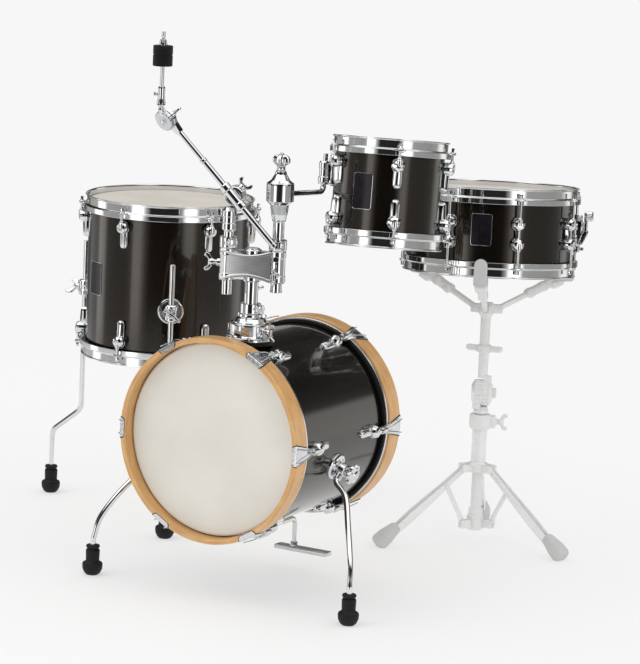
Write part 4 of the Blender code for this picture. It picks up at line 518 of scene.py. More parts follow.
def maple():
    """Clear-lacquered maple with its grain running round the hoop, on the hoop's own UV map."""
    look = Look("maple", (0.72, 0.42, 0.16), roughness=0.36, coat=0.35, coat_roughness=0.12)
    grain = look.noise(1.0, 5.0, look.scaled((9.0, 900.0, 1.0), "UV"), 0.6)
    figure = look.noise(1.0, 3.0, look.scaled((26.0, 60.0, 1.0), "UV"))
    base = look.ramp(grain, (0.28, (0.47, 0.235, 0.075)), (0.46, (0.66, 0.37, 0.135)), (0.58, (0.76, 0.455, 0.185)),
        (0.74, (0.86, 0.56, 0.26)))
    shade = look.ramp(figure, (0.3, (0.78, 0.7, 0.62)), (0.68, (1.0, 1.0, 1.0)))
    look.color(look.mixed(0.75, base, shade, "MULTIPLY"))
    look.roughness(look.span(grain, 0.3, 0.46))
    return look.bump(grain, 0.1, 0.0003)


def coated(name, dark, light, scale):
    """Coated drum film: a fine matt grain, faintly mottled."""
    look = Look(name, light, roughness=0.55, specular=0.4)
    mottle = look.noise(scale, 3.0)
    look.color(look.ramp(mottle, (0.3, dark), (0.7, light)))
    grain = look.noise(1500.0, 2.0)
    look.roughness(look.span(grain, 0.46, 0.62))
    return look.bump(grain, 0.1, 0.0002)


def rubber(name="rubber", tone=0.006):
    tones = [(a * tone, a * tone, b * tone) for a, b in ((1.0, 1.05), (0.7, 0.75), (1.9, 2.0))]
    return mottled(name, tones[0], (90.0, 4.0), ((0.35, tones[1]), (0.75, tones[2])), (0.48, 0.72),
        (450.0, 0.25, 0.0003), roughness=0.6, specular=0.3)


def felt():
    look = Look("felt", (0.006, 0.006, 0.0065), roughness=0.95, specular=0.1)
    look.shader.inputs["Sheen Weight"].default_value = 0.08
    look.shader.inputs["Sheen Roughness"].default_value = 0.6
    fibres = look.noise(700.0, 5.0, None, 0.7)
    look.color(look.ramp(fibres, (0.3, (0.003, 0.003, 0.0035)), (0.7, (0.012, 0.012, 0.013))))
    return look.bump(fibres, 0.7, 0.0008)


def badge():
    """Bare gloss-black badge plate."""
    stops = (0.3, (0.005, 0.004, 0.006)), (0.7, (0.013, 0.01, 0.015))
    return mottled("badge", (0.008, 0.007, 0.008), (55.0, 3.0), stops, (0.18, 0.3), roughness=0.22, specular=0.22)


def pale(name, tone, metallic, rough):
    """Pale finish of the stand, which the photograph shows faded."""
    light, dim = (tone, tone, tone), (0.95 * tone, 0.95 * tone, 0.95 * tone)
    return mottled(name, light, (24.0, 4.0), ((0.3, dim), (0.7, light)), (rough, rough + 0.12), (220.0, 0.06, 0.0003),
        metallic=metallic, roughness=rough)


LOOKS = {
    "lacquer": lacquer(),
    "chrome": chrome(),
    "chrome_soft": chrome("chrome_soft", (0.74, 0.75, 0.76), 0.13, 0.10),
    "satin": cast_plate(),
    "claw_cast": chrome("claw_cast", (0.72, 0.73, 0.74), 0.06, 0.05, (240.0, 0.45, 0.0010)),
    "maple": maple(),
    "bass_film": coated("bass_film", (0.70, 0.685, 0.625), (0.765, 0.75, 0.69), 9.0),
    "coated_film": coated("coated_film", (0.62, 0.580, 0.515), (0.70, 0.655, 0.590), 12.0),
    "rubber": rubber(),
    "felt": felt(),
    # Darkened chrome of the floor tom brackets' cups: painted shade in their recess
    "recess_shade_chrome": chrome("recess_shade_chrome", (0.22, 0.22, 0.23), 0.10, 0.06),
    "steel_wire": chrome("steel_wire", (0.55, 0.55, 0.56), 0.25, 0.15),
    "badge": badge(),
    "pale_steel": pale("pale_steel", 0.86, 0.25, 0.30),
    "pale_cast": pale("pale_cast", 0.83, 0.10, 0.42),
    "pale_rubber": pale("pale_rubber", 0.58, 0.0, 0.60),
    # Near-black finish of the ring under the bass drum's flesh hoops: painted shade of that gap
    "gap_shade": rubber("gap_shade", 0.004),
}


def placed(name, data):
    item = bpy.data.objects.new(name, data)
    bpy.context.scene.collection.objects.link(item)
    return item


def add(name, shape, look, body, *nodes, smooth=35):
    """Puts a shape in the scene: its finish, the body that it rides on and the nodes that it stands for."""
    moved(shape, TO_FRAME)
    mesh = bpy.data.meshes.new(name)
    shape.to_mesh(mesh)
    shape.free()
    mesh.materials.append(LOOKS[look].material)
    mesh.shade_smooth()
    mesh.set_sharp_from_angle(angle=math.radians(smooth))
    item = placed(name, mesh)
    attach(item, body)
    if nodes:
        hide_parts(*nodes)
    return item


# Drums


class Drum:
    """Round shell about its own Z, with the places that things on it are put at."""

    def __init__(self, name, body, radius, length, place, wall, lug_azimuths):
        self.name, self.body, self.radius, self.half = name, body, radius, length / 2
        self.place, self.wall, self.lug_azimuths = place, wall, lug_azimuths

    def at(self, azimuth, along=0.0):
        """Frame on the shell: X across, Y out of the shell, Z along the drum."""
        out = plan_direction(azimuth)
        across = plan_direction(azimuth + 90)
        axes = Matrix((across, out, up(1))).transposed().to_4x4()
        return self.place @ put(out * self.radius + up(along)) @ axes

    def end(self, side):
        return self.place @ mirrored(side)


def spread(count, first):
    return [first + 360 * i / count for i in range(count)]


BASS_PLACE = shift(z=BASS_AXIS_HEIGHT) @ STANDING
BASS = Drum("bass", "kit", BASS_RADIUS, BASS_LENGTH, BASS_PLACE, 0.007, [180 - a for a in BASS_LUG_ANGLES])
SHELL_TOP = BASS_AXIS_HEIGHT + BASS_RADIUS
TOM_MIDDLE = TOM_TOP - TOM_AXIS * (TOM_LENGTH / 2 + HOOP_RISE)
TOM = Drum("tom", "tom", TOM_RADIUS, TOM_LENGTH, frame(TOM_MIDDLE, TOM_AXIS), DRUM_WALL,
    spread(TOM_LUGS, TOM_LUG_AZIMUTH))
FLOOR_TOM_MIDDLE = FLOOR_TOM_TOP - up(FLOOR_TOM_LENGTH / 2 + HOOP_RISE)
FLOOR_TOM = Drum("floor_tom", "floor_tom", FLOOR_TOM_RADIUS, FLOOR_TOM_LENGTH, put(FLOOR_TOM_MIDDLE), DRUM_WALL,
    spread(FLOOR_TOM_LUGS, FLOOR_TOM_LUG_AZIMUTH))
SNARE_MIDDLE = SNARE_BOTTOM + SNARE_AXIS * (SNARE_LENGTH / 2 + HOOP_RISE)
SNARE = Drum("snare", "snare", SNARE_RADIUS, SNARE_LENGTH, frame(SNARE_MIDDLE, SNARE_AXIS), DRUM_WALL,
    spread(SNARE_LUGS, SNARE_LUG_AZIMUTH))


def add_shell(drum, sides=160):
    """Shell with its bearing edges, lacquered all over."""
    r, h, w = drum.radius, drum.half, drum.wall
    outer = fillet([(r - 0.55 * w, h), (r, h - 0.0018), (r, -h + 0.0018), (r - 0.55 * w, -h), (r - w, -h + 0.003),
        (r - w, h - 0.003)], 0.0006, 2, ring=True)
    add(drum.name + "_shell_skin", moved(turned(outer, sides), drum.place), "lacquer", drum.body,
        drum.name + "_shell")


LUG_DOME = ((0, 0.0205), (0.0055, 0.0202), (0.0098, 0.0178), (0.0122, 0.013), (0.0126, 0.009), (0.0126, 0.003),
    (0.0112, -0.001), (0, -0.001))


def lug_boss():
    """Domed round cap on a drum, with the fine groove under its dome."""
    groove = ring_shape([(0.012, 0.0082), (0.0131, 0.0078), (0.0131, 0.0064), (0.012, 0.006)], 0.0003, 2, 48)
    return joined(solid_turned(LUG_DOME, 0.0012, 48, 4), groove)


def ball_lug(leaf=0.0345):
    """Lug with a domed round boss, a barrel for the rod and a stepped leaf; Z towards the rod, Y out."""
    boss = moved(lug_boss(), shift(z=-0.0105) @ OUTWARD)
    barrel = solid_turned([(0.005, 0), (0.0062, -0.0016), (0.0062, -0.012)], 0.0006, 28)
    end = -0.0185 - leaf
    sections = []
    for along, half, height in ((-0.01, 0.0078, 0.0125), (-0.0215, 0.0084, 0.0116), (end + 0.01, 0.0084, 0.0106),
            (end + 0.0048, 0.0076, 0.0098), (end + 0.0018, 0.0056, 0.0084), (end, 0.0026, 0.0056)):
        edge = ((1.0, -0.001), (1.0, 0.0042), (0.93, 0.006), (0.74, 0.66 * height), (0.56, 0.72 * height),
            (0.5, 0.96 * height), (0.4, height))
        side = [(part * half, out) for part, out in edge]
        sections.append([(-x, y, along) for x, y in side] + [(x, y, along) for x, y in reversed(side)])
    return joined(boss, moved(barrel, shift(y=ROD_OFFSET)), lofted(sections))


def long_lug(length, spacing):
    """Snare lug: one bar with a domed boss near each end."""
    pieces = []
    for side in (1, -1):
        pieces.append(moved(lug_boss(), shift(z=side * (spacing / 2)) @ OUTWARD))
        barrel = rod_shape(0.006, 0, 0.013, 28, 0.001)
        flip = mirrored(side)
        pieces.append(moved(barrel, shift(0, ROD_OFFSET, side * (length / 2 - 0.0125)) @ flip))
    sections = []
    for along, half, height in ((-0.5, 0.0066, 0.0128), (-0.3, 0.0066, 0.0122), (-0.16, 0.0056, 0.0132),
            (0, 0.005, 0.0136), (0.16, 0.0056, 0.0132), (0.3, 0.0066, 0.0122), (0.5, 0.0066, 0.0128)):
        z = along * spacing
        sections.append([(-half, -0.001, z), (-half, 0.55 * height, z), (-0.7 * half, 0.9 * height, z),
            (-0.3 * half, height, z), (0.3 * half, height, z), (0.7 * half, 0.9 * height, z),
            (half, 0.55 * height, z), (half, -0.001, z)])
    return joined(lofted(sections), *pieces)


def key_rod(top, end):
    """Tension rod: square head on a washer collar, down to the lug."""
    shank = rod_shape(ROD_RADIUS, end - 0.001, top, 20)
    collar = solid_turned(raised([(0.005, 0.0022), (0.0062, 0.001), (0.0062, 0)], top), 0.0005, 28)
    head = moved(block((0.0058, 0.0058, 0.0085), (0, 0, top + 0.006), 0.0008), spin(12))
    neck = solid_turned(raised([(0.004, 0.004), (0.0046, 0.0026), (0.0046, 0)], end), 0.0004, 24)
    return joined(shank, collar, head, neck)


def add_steel_hoop(drum, side, word, lug_end, sides=160):
    """Triple-flanged hoop, its ears and tension rods."""
    inner = drum.radius + HOOP_CLEARANCE
    top = drum.half + HOOP_RISE
    middle = top - HOOP_BAND
    flare = drum.radius + HOOP_FLARE
    sheet = 0.002
    profile = [(inner, top - 0.003), (inner + 0.0006, top), (inner + 0.0052, top), (inner + 0.0052, top - 0.0022),
        (inner + sheet + 0.0004, top - 0.003), (inner + sheet, middle + 0.0006), (flare, middle - 0.001),
        (flare, middle - HOOP_SKIRT), (flare - sheet, middle - HOOP_SKIRT), (flare - sheet, middle - 0.0034),
        (inner, middle - 0.002)]
    ring = ring_shape(profile, 0.0016, 4, sides)
    parts = []
    reach = drum.radius + EAR_REACH
    for azimuth in drum.lug_azimuths:
        turn = spin(azimuth - 90)
        start = inner + 0.001
        ear = plate([(start, -0.0125), (flare - 0.001, -0.012), (reach - 0.0035, -0.008), (reach, -0.0045),
            (reach, 0.0045), (reach - 0.0035, 0.008), (flare - 0.001, 0.012), (start, 0.0125)], middle - 0.0034,
            middle - 0.0004, 0.001)
        skirt = block((0.0022, 0.015, 0.009), (flare + 0.0012, 0, middle - 0.007), 0.0008)
        parts.append(moved(joined(ear, skirt), turn))
        rod = moved(key_rod(middle - 0.0004, lug_end), turn @ shift(drum.radius + ROD_OFFSET))
        parts.append(rod)
    node = f"{drum.name}_{word}_hoop"
    add(node + "_ring", moved(ring, drum.end(side)), "chrome", drum.body, node)
    add(node + "_rods", moved(joined(*parts), drum.end(side)), "chrome", drum.body, node)


def add_head(drum, side, word):
    """Coated film over the bearing edge, its collar and metal flesh hoop."""
    edge = drum.half + GAP + FILM_THICKNESS
    outer = drum.radius + 0.0016
    film = fillet(raised([(0, -0.0006), (drum.radius - 0.012, -0.0006), (drum.radius - 0.004, 0),
        (outer - 0.0004, -0.0012), (outer, -0.009), (outer - 0.0005, -0.009), (drum.radius - 0.0002, -0.0016),
        (drum.radius - 0.01, -0.0011), (0, -0.0011)], edge), 0.0012, 3)
    node = f"{drum.name}_{word}_head"
    add(node + "_film", moved(turned(film, 128), drum.end(side)), "coated_film", drum.body, node)
    hoop = ring_shape(raised([(outer - 0.001, -0.0085), (outer + 0.0008, -0.0085), (outer + 0.0008, -0.016),
        (outer - 0.001, -0.016)], edge), 0.0006, 2, 128)
    add(node + "_flesh_hoop", moved(hoop, drum.end(side)), "chrome_soft", drum.body, node)


# Badges: azimuth, height along the drum, width and height
BADGES = {"tom": (2.0, 0.001, 0.038, 0.066), "floor_tom": (-28.5, 0.001, 0.044, 0.066),
    "snare": (21.0, 0.006, 0.04, 0.062)}
BADGE_CORNER, BADGE_STEPS = 0.004, 16


def on_shell(drum, reach, x, z):
    """Point at a width along the shell's round, as seen from the badge's own place."""
    return Vector((reach * math.sin(x / drum.radius), reach * math.cos(x / drum.radius) - drum.radius, z))


def add_badge(drum):
    """Bare badge plate that follows the shell, with a thin bright line round it."""
    azimuth, along, width, height = BADGES[drum.name]
    sections = []
    low, high = drum.radius + 0.0001, drum.radius + 0.0011
    for k in range(BADGE_STEPS + 1):
        x = (-1 + 2 * k / BADGE_STEPS) * width / 2
        over = abs(x) - (width / 2 - BADGE_CORNER)
        half = height / 2 - (BADGE_CORNER - math.sqrt(max(BADGE_CORNER ** 2 - over ** 2, 0)) if over > 0 else 0)
        sections.append([on_shell(drum, reach, x, z) for reach, z in ((low, -half), (high, -half + 0.0003),
            (high, half - 0.0003), (low, half))])
    place, shell = drum.at(azimuth, along), drum.name + "_shell"
    add(drum.name + "_badge", moved(lofted(sections), place), "badge", drum.body, shell)
    add(drum.name + "_rim", moved(badge_rim(drum, width, height), place), "chrome_soft", drum.body, shell)


def badge_rim(drum, width, height):
    """Thin bright line round a badge plate."""
    route = []
    x, z = width / 2 - BADGE_CORNER, height / 2 - BADGE_CORNER
    for centre, first in (((x, z), 0), ((-x, z), 90), ((-x, -z), 180), ((x, -z), 270)):
        route += arc(centre, BADGE_CORNER, first, first + 90, 5)
    reach = drum.radius + 0.0009
    points = [on_shell(drum, reach, x, z) for x, z in route + route[:1]]
    dense = []
    for a, b in zip(points, points[1:]):
        count = max(1, int((b - a).length / 0.005))
        for k in range(count):
            x = a.x + (b.x - a.x) * k / count
            z = a.z + (b.z - a.z) * k / count
            dense.append(Vector((x, math.sqrt(max(reach ** 2 - x ** 2, 0)) - drum.radius, z)))
    return round_bar(dense + dense[:1], 0.00045, 8, 0.0001)


def at_lugs(make, drum):
    return joined(*[moved(make(), drum.at(azimuth) @ mirrored(side)) for azimuth in drum.lug_azimuths
        for side in (1, -1)])


def add_small_drum(drum, lug_end):
    add_shell(drum)
    for side, word in ((1, "top"), (-1, "bottom")):
        add_steel_hoop(drum, side, word, lug_end)
        add_head(drum, side, word)


def add_toms():
    for drum in (TOM, FLOOR_TOM):
        lug_end = drum.half - LUG_BELOW_EDGE
        add_small_drum(drum, lug_end)
        lugs = at_lugs(lambda: moved(ball_lug(), shift(z=lug_end)), drum)
        add(drum.name + "_lugs", lugs, "chrome", drum.body, drum.name + "_shell")
    for drum in (TOM, FLOOR_TOM):
        add_badge(drum)


# Bass drum


BASS_HOOP_FACE = BASS.half + BASS_HOOP_OVERHANG
BASS_HOOP_BACK = BASS_HOOP_FACE - BASS_HOOP_WIDTH
CLAW_TAIL_END = BASS_HOOP_BACK - CLAW_TAIL
CLAW_UNDER = FLESH_HOOP_OUTER - BASS_RADIUS + 0.0005
BASS_LUG_START = CLAW_TAIL_END - BASS_ROD_SHOWN - GAP
BASS_LUG_LEAF, BASS_LUG_SINK = 0.036, 0.0022


def claw_path(lift=0.0, grow=0.0):
    """Stations over the hoop, from its face to its back: along, out, half width and thickness."""
    over = BASS_HOOP_OUTER - BASS_RADIUS + lift
    face = BASS_HOOP_FACE + lift
    back = BASS_HOOP_BACK
    return [(face, over - 0.0095, 0.015 + grow, 0.0028), (face + 0.0003, over - 0.005, 0.0188 + grow, 0.0034),
        (face - 0.0002, over - 0.0006, 0.0196 + grow, 0.0036), (face - 0.0016, over, 0.0196 + grow, 0.0042),
        (face - 0.012, over, 0.0168 + grow, 0.0056), (back + 0.013, over, 0.0134 + grow, 0.0066),
        (back + 0.002, over - 0.0002, 0.0108 + grow, 0.0068)]


def claw():
    """Cast claw: a fan with two ribs over the hoop, waisted to a tail that holds the rod."""
    tail = CLAW_TAIL_END
    path = claw_path(0.0006)
    back = BASS_HOOP_BACK
    over = BASS_HOOP_OUTER - BASS_RADIUS
    path += [(back - 0.006, over - 0.001, 0.0088, 0.0066), (back - 0.014, over - 0.0026, 0.007, 0.0064),
        (back - 0.022, over - 0.004, 0.006, 0.0068), (tail + 0.004, over - 0.005, 0.0058, 0.0072),
        (tail, over - 0.0052, 0.0054, 0.0066)]
    body = ribbon(path, 0.42, 13)
    ribs = []
    for side in (1, -1):
        route = [Vector((side * share * half, out + 0.7 * thick + 0.0004, along))
            for (along, out, half, thick), share in zip(path[3:9], (0.66, 0.66, 0.64, 0.6, 0.55, 0.5))]
        ribs.append(round_bar(smooth_route(route, 3), 0.0012, 10, 0.0005))
    centre = CLAW_UNDER + 0.0028
    barrel = moved(rod_shape(0.0066, tail - 0.0006, tail + 0.015, 28, 0.0012), shift(y=centre))
    return joined(body, barrel, *ribs)


def bass_rod():
    """Drum-key rod in the claw's tail: washer and shank into the lug."""
    top = CLAW_TAIL_END + 0.014
    centre = CLAW_UNDER + 0.0028
    shank = rod_shape(BASS_ROD_RADIUS, BASS_LUG_START - 0.004, top, 20)
    washer = solid_turned([(0.0054, CLAW_TAIL_END), (0.0054, CLAW_TAIL_END - 0.0014)], 0.0004, 24)
    return moved(joined(shank, washer), shift(y=centre))


def add_bass_drum():
    add_shell(BASS, 192)
    lugs = at_lugs(lambda: moved(ball_lug(BASS_LUG_LEAF), shift(0, -BASS_LUG_SINK, BASS_LUG_START)), BASS)
    add("bass_lugs", lugs, "chrome", "kit", "bass_shell")
    face, back = BASS_HOOP_FACE, BASS_HOOP_BACK
    for side, word in ((1, "front"), (-1, "rear")):
        node = f"bass_{word}_hoop"
        profile = fillet([(BASS_HOOP_INNER, face), (BASS_HOOP_OUTER, face), (BASS_HOOP_OUTER, back),
            (BASS_HOOP_INNER, back)], 0.0022, 4, ring=True)
        add(node + "_wood", moved(turned(profile, 192), BASS.end(side)), "maple", "kit", node)
        places = [BASS.at(azimuth) @ mirrored(side) for azimuth in BASS.lug_azimuths]
        add(node + "_claws", joined(*[moved(claw(), place) for place in places]), "claw_cast", "kit", node)
        add(node + "_rods", joined(*[moved(bass_rod(), place) for place in places]), "chrome", "kit", node)
        pads = [moved(ribbon(claw_path(0, 0.0018), 0.1, 7), place) for place in places]
        add(node + "_claw_pads", joined(*pads), "rubber", "kit", node)
        edge = BASS.half + GAP + FILM_THICKNESS
        r = BASS.radius
        film = fillet([(0, edge), (r - 0.016, edge), (r - 0.002, edge + 0.0002), (r + 0.0014, edge - 0.0012),
            (r + 0.0016, back - 0.001), (r + 0.001, back - 0.001), (r - 0.0004, edge - 0.001),
            (r - 0.014, edge - 0.0006), (0, edge - 0.0006)], 0.0012, 3)
        add(f"bass_{word}_head_film", moved(turned(film, 160), BASS.end(side)), "bass_film", "kit",
            f"bass_{word}_head")
        ring = ring_shape(raised([(r + 0.001, -0.0004), (FLESH_HOOP_OUTER, -0.0004), (FLESH_HOOP_OUTER, -0.0074),
            (r + 0.001, -0.0074)], back), 0.0012, 3, 160)
        add(f"bass_{word}_flesh_hoop", moved(ring, BASS.end(side)), "chrome_soft", "kit", f"bass_{word}_head")
        # Dark ring put in the gap under the flesh hoop: painted shade, not a real part of the drum
        shade_ring = ring_shape(raised([(r + 0.0012, -0.0076), (FLESH_HOOP_OUTER - 0.003, -0.0076),
            (FLESH_HOOP_OUTER - 0.004, -0.011), (r + 0.0008, -0.011)], back), 0.0006, 2, 160)
        add(f"bass_{word}_head_gap_shade", moved(shade_ring, BASS.end(side)), "gap_shade", "kit", f"bass_{word}_head")


# Fastenings


def wing_screw(length, span=0.033, height=0.0125, thick=0.0024):
    """Screw with two cast wings; Z out along the screw, X along the wings."""
    shank = solid_turned([(0.0054, length + 0.002), (0.0066, length - 0.0015), (0.0054, length - 0.007),
        (0.0044, length - 0.0085), (0.0044, -0.002)], 0.0008, 28)
    half = span / 2
    right = [(0.007, -0.0026), (half - 0.003, 0.0014), (half, 0.0058), (half - 0.0008, height - 0.001),
        (half - 0.0055, height + 0.0006), (0.0064, 0.0046)]
    outline = [(0, -0.0045)] + right + [(-x, z) for x, z in reversed(right)]
    wings = moved(plate(fillet(outline, 0.0032, 4, ring=True), -thick, thick, 0.0013, 3), shift(z=length) @ STANDING)
    return joined(shank, wings)


def memory_lock(radius, hole, low, height):
    """Split collar with its ear and key screw."""
    ring = tube_shape(hole, radius, low, low + height, 48, 0.0012)
    ear = block((0.012, 0.013, 0.82 * height), (radius + 0.0015, 0, low + height / 2), 0.0016)
    slit = block((0.016, 0.0014, 0.84 * height), (radius + 0.001, 0, low + height / 2), 0.0003)
    screw = moved(rod_shape(0.0034, -0.01, 0.01, 20), shift(radius + 0.0028, 0, low + height / 2) @ STANDING)
    head = moved(block((0.0056, 0.0056, 0.006), (0, 0, 0), 0.0008), shift(radius + 0.0028, -0.0125, low + height / 2))
    return joined(ring, ear, slit, screw, head)


# Spurs and riser


SPUR_ANGLE, SPUR_FORWARD = 106, 0.011
SPUR_DISH_RADIUS, SPUR_DISH_THICKNESS = 0.0255, 0.007
SPUR_BARREL_RADIUS, SPUR_BARREL_LENGTH = 0.012, 0.018
SPUR_KNOB_RADIUS, SPUR_KNOB_LENGTH = 0.02, 0.0215
SPUR_ROD_RADIUS, SPUR_LEAVING = 0.0056, (-0.276, -0.75, -0.961)
SPUR_ROUTE = (0.213, -0.043, 0.211), (0.246, -0.086, 0.167), (0.274, -0.121, 0.112)
SPUR_FOOT = Vector((0.282, -0.133, 0))
FOOT_RADIUS, FOOT_HEIGHT, FOOT_CONTACT_RADIUS, FOOT_SOCKET = 0.0195, 0.058, 0.011, 0.012


def rubber_foot():
    """Ball foot with a ringed neck."""
    r, h = FOOT_RADIUS, FOOT_HEIGHT
    profile = [(0, h - 0.004), (0.0046, h - 0.004), (0.005, h), (0.0122, h), (0.0134, h - 0.003), (0.0122, h - 0.006),
        (0.0098, h - 0.0066), (0.0098, h - 0.0082), (0.0128, h - 0.009), (0.0134, h - 0.012), (0.0128, h - 0.03),
        (0.015, h - 0.033), (0.0186, h - 0.0345), (r, h - 0.0385), (0.97 * r, 0.2 * h), (0.8 * r, 0.075 * h),
        (FOOT_CONTACT_RADIUS, 0), (0, 0)]
    return solid_turned(profile, 0.0024, 40, 4)


def spur_frame(side):
    return BASS.at(180 - side * SPUR_ANGLE, SPUR_FORWARD) @ OUTWARD


def add_spurs():
    barrel_long, barrel_r = SPUR_BARREL_LENGTH, SPUR_BARREL_RADIUS
    for side, word in ((-1, "left"), (1, "right")):
        place = spur_frame(side)
        dish = SPUR_DISH_THICKNESS
        knob = dish + barrel_long + 2 * GAP
        end = knob + SPUR_KNOB_LENGTH
        base = solid_turned([(0.015, dish + 0.0005), (0.017, dish - 0.0008), (0.0225, dish - 0.0022),
            (SPUR_DISH_RADIUS, 0.002), (SPUR_DISH_RADIUS, -0.004)], 0.0012, 64, 4)
        bolt = rod_shape(0.004, 0, knob + 0.004, 20)
        grip = fluted([(0.008, end), (0.0098, end - 0.0024), (0.0125, end - 0.003),
            (SPUR_KNOB_RADIUS - 0.0006, end - 0.005), (SPUR_KNOB_RADIUS, knob + 0.0105), (0.0132, knob + 0.004),
            (0.012, knob)], 96, 6, 0.0048, knob + 0.0046, end - 0.0032, 0.0012)
        cap = solid_turned(raised([(0, 0.0012), (0.006, 0.0006), (0.0072, -0.001), (0, -0.001)], end), 0.0005, 32)
        add(f"spur_bracket_{word}_cast", moved(joined(base, bolt, grip, cap), place), "chrome", "kit",
            "spur_bracket_" + word)
        low = dish + GAP
        body = "spur_" + word
        barrel = ring_shape([(0.0044, low + barrel_long), (0.0092, low + barrel_long),
            (barrel_r, low + barrel_long - 0.003), (barrel_r, low + 0.003), (0.0104, low), (0.0044, low)], 0.0012, 3,
            48)
        middle = low + barrel_long / 2
        start = place @ up(middle)
        leaving = Vector((side * SPUR_LEAVING[0], *SPUR_LEAVING[1:])).normalized() * 2.2 * barrel_r
        beside = place @ up(middle + 0.002) + leaving
        foot = Vector((side * SPUR_FOOT.x, SPUR_FOOT.y, 0))
        above = foot + up(FOOT_HEIGHT + 0.012)
        tip = foot + up(FOOT_HEIGHT - FOOT_SOCKET + GAP)
        points = [start, beside] + [Vector((side * x, y, z)) for x, y, z in SPUR_ROUTE] + [above]
        route = [p for p in smooth_route(points, 10) if (p - start).length > 0.006]
        rod = round_bar(route + [tip], SPUR_ROD_RADIUS, 24)
        sleeve = moved(solid_turned([(0.0066, 0.007), (0.0078, 0.005), (0.0078, -0.007)], 0.001, 32),
            frame(route[3], route[4] - route[2], (0, 0, 1)))
        add(f"spur_rod_{word}_bent", joined(moved(barrel, place), rod, sleeve), "chrome", body, "spur_rod_" + word)
        add(f"spur_foot_{word}_ball", moved(rubber_foot(), put(foot)), "rubber", body, "spur_foot_" + word)


RISER_ROD_RADIUS, RISER_X, RISER_HEIGHT, RISER_START, RISER_REACH = 0.005, -0.02, 0.0975, 0.01, 0.172
RISER_PLATE_SIZE, RISER_PLATE_HEIGHT, RISER_BEND = Vector((0.116, 0.024, 0.005)), 0.036, 0.014
RISER_BRACKET_SIZE, RISER_BRACKET_Y = Vector((0.03, 0.034, 0.026)), 0.035


def add_riser():
    y, height, x, reach = RISER_BRACKET_Y, RISER_HEIGHT, RISER_X, RISER_REACH
    size = RISER_BRACKET_SIZE
    low, top = height - size.z / 2, BASS_AXIS_HEIGHT - BASS_RADIUS + 0.001
    body = joined(block((size.x, size.y, top - low), (x, y, (top + low) / 2), 0.003, 3),
        *[block((size.x + 0.005, 0.006, top - low - 0.004), (x, y + side * 0.36 * size.y, (top + low) / 2), 0.0016)
        for side in (1, -1)])
    flange = block((size.x + 0.016, size.y + 0.01, 0.005), (x, y, top - 0.001), 0.0016)
    screw = moved(wing_screw(0.016), frame((x - size.x / 2, y, height), (-1, 0, 0), (0, 1, 0)))
    collars = [moved(tube_shape(0.0053, 0.009, -0.003, 0.001, 32), frame((x, y + s * size.y / 2, height), (0, s, 0),
        (1, 0, 0))) for s in (1, -1)]
    add("riser_bracket_cast", joined(body, flange, screw, *collars), "chrome", "kit", "riser_bracket")
    start = Vector((x, RISER_START, height))
    corner = Vector((x, reach, height))
    end = Vector((x, reach, RISER_PLATE_HEIGHT + 0.002))
    rod = round_bar([start] + rounded_corner(start, corner, end, RISER_BEND) + [end], RISER_ROD_RADIUS, 24)
    size = RISER_PLATE_SIZE
    pedal = block((size.x, size.y, size.z + 0.003), (0, reach, RISER_PLATE_HEIGHT + size.z / 2 - 0.0015), 0.0014, 3)
    boss = moved(solid_turned([(0.007, 0.009), (0.0084, 0.004), (0.0084, 0)], 0.001, 32),
        shift(x, reach, RISER_PLATE_HEIGHT + size.z - 0.0005))
    add("riser_bent", joined(rod, boss), "chrome", "riser", "riser")
    add("riser_plate", pedal, "satin", "riser", "riser")


# Post, base, clamp and arms


POST_PLACE = Vector((0.018, -0.0865, 0))
POST_RADIUS, POST_BELOW_SHELL, POST_TOP = 0.0127, 0.045, 0.172
BASE_FLANGE_RADIUS, BASE_FLANGE_TOP, BASE_BODY_RADIUS, BASE_BODY_TOP = 0.044, 0.009, 0.0375, 0.0335
BASE_DOME_RADIUS, BASE_DOME_TOP, BASE_NECK_RADIUS, BASE_TOP = 0.03, 0.043, 0.0215, 0.0505
BASE_SCREW_AZIMUTH = 75
LOCK_RADIUS, LOCK_HEIGHT, ARM_LOCK_RADIUS, ARM_LOCK_HEIGHT = 0.0193, 0.0185, 0.0165, 0.02
CLAMP_AZIMUTH, CLAMP_BOTTOM, CLAMP_HEIGHT, CLAMP_SOCKET_OFFSET = 22, 0.11, 0.06, 0.046
CLAMP_SOCKET_RADIUS, CLAMP_CENTRE_RADIUS = 0.016, 0.02
CLAMP_TOP = CLAMP_BOTTOM + CLAMP_HEIGHT
COVER_STEPS, COVER_LEFT, COVER_SPAN, COVER_LIP = 28, -0.057, 0.093, 0.0026
COVER_HALF, COVER_WAIST, COVER_OUT, COVER_BULGE = 0.03, 0.0092, 0.0168, 0.0048
CLAMP_OUT, CLAMP_ACROSS = plan_direction(CLAMP_AZIMUTH), plan_direction(CLAMP_AZIMUTH + 90)


def on_post(height):
    return POST_PLACE + up(SHELL_TOP + height)


def in_clamp(across, out, height):
    return on_post(height) + CLAMP_ACROSS * across + CLAMP_OUT * out


def upright(point):
    return frame(point, (0, 0, 1), CLAMP_ACROSS)


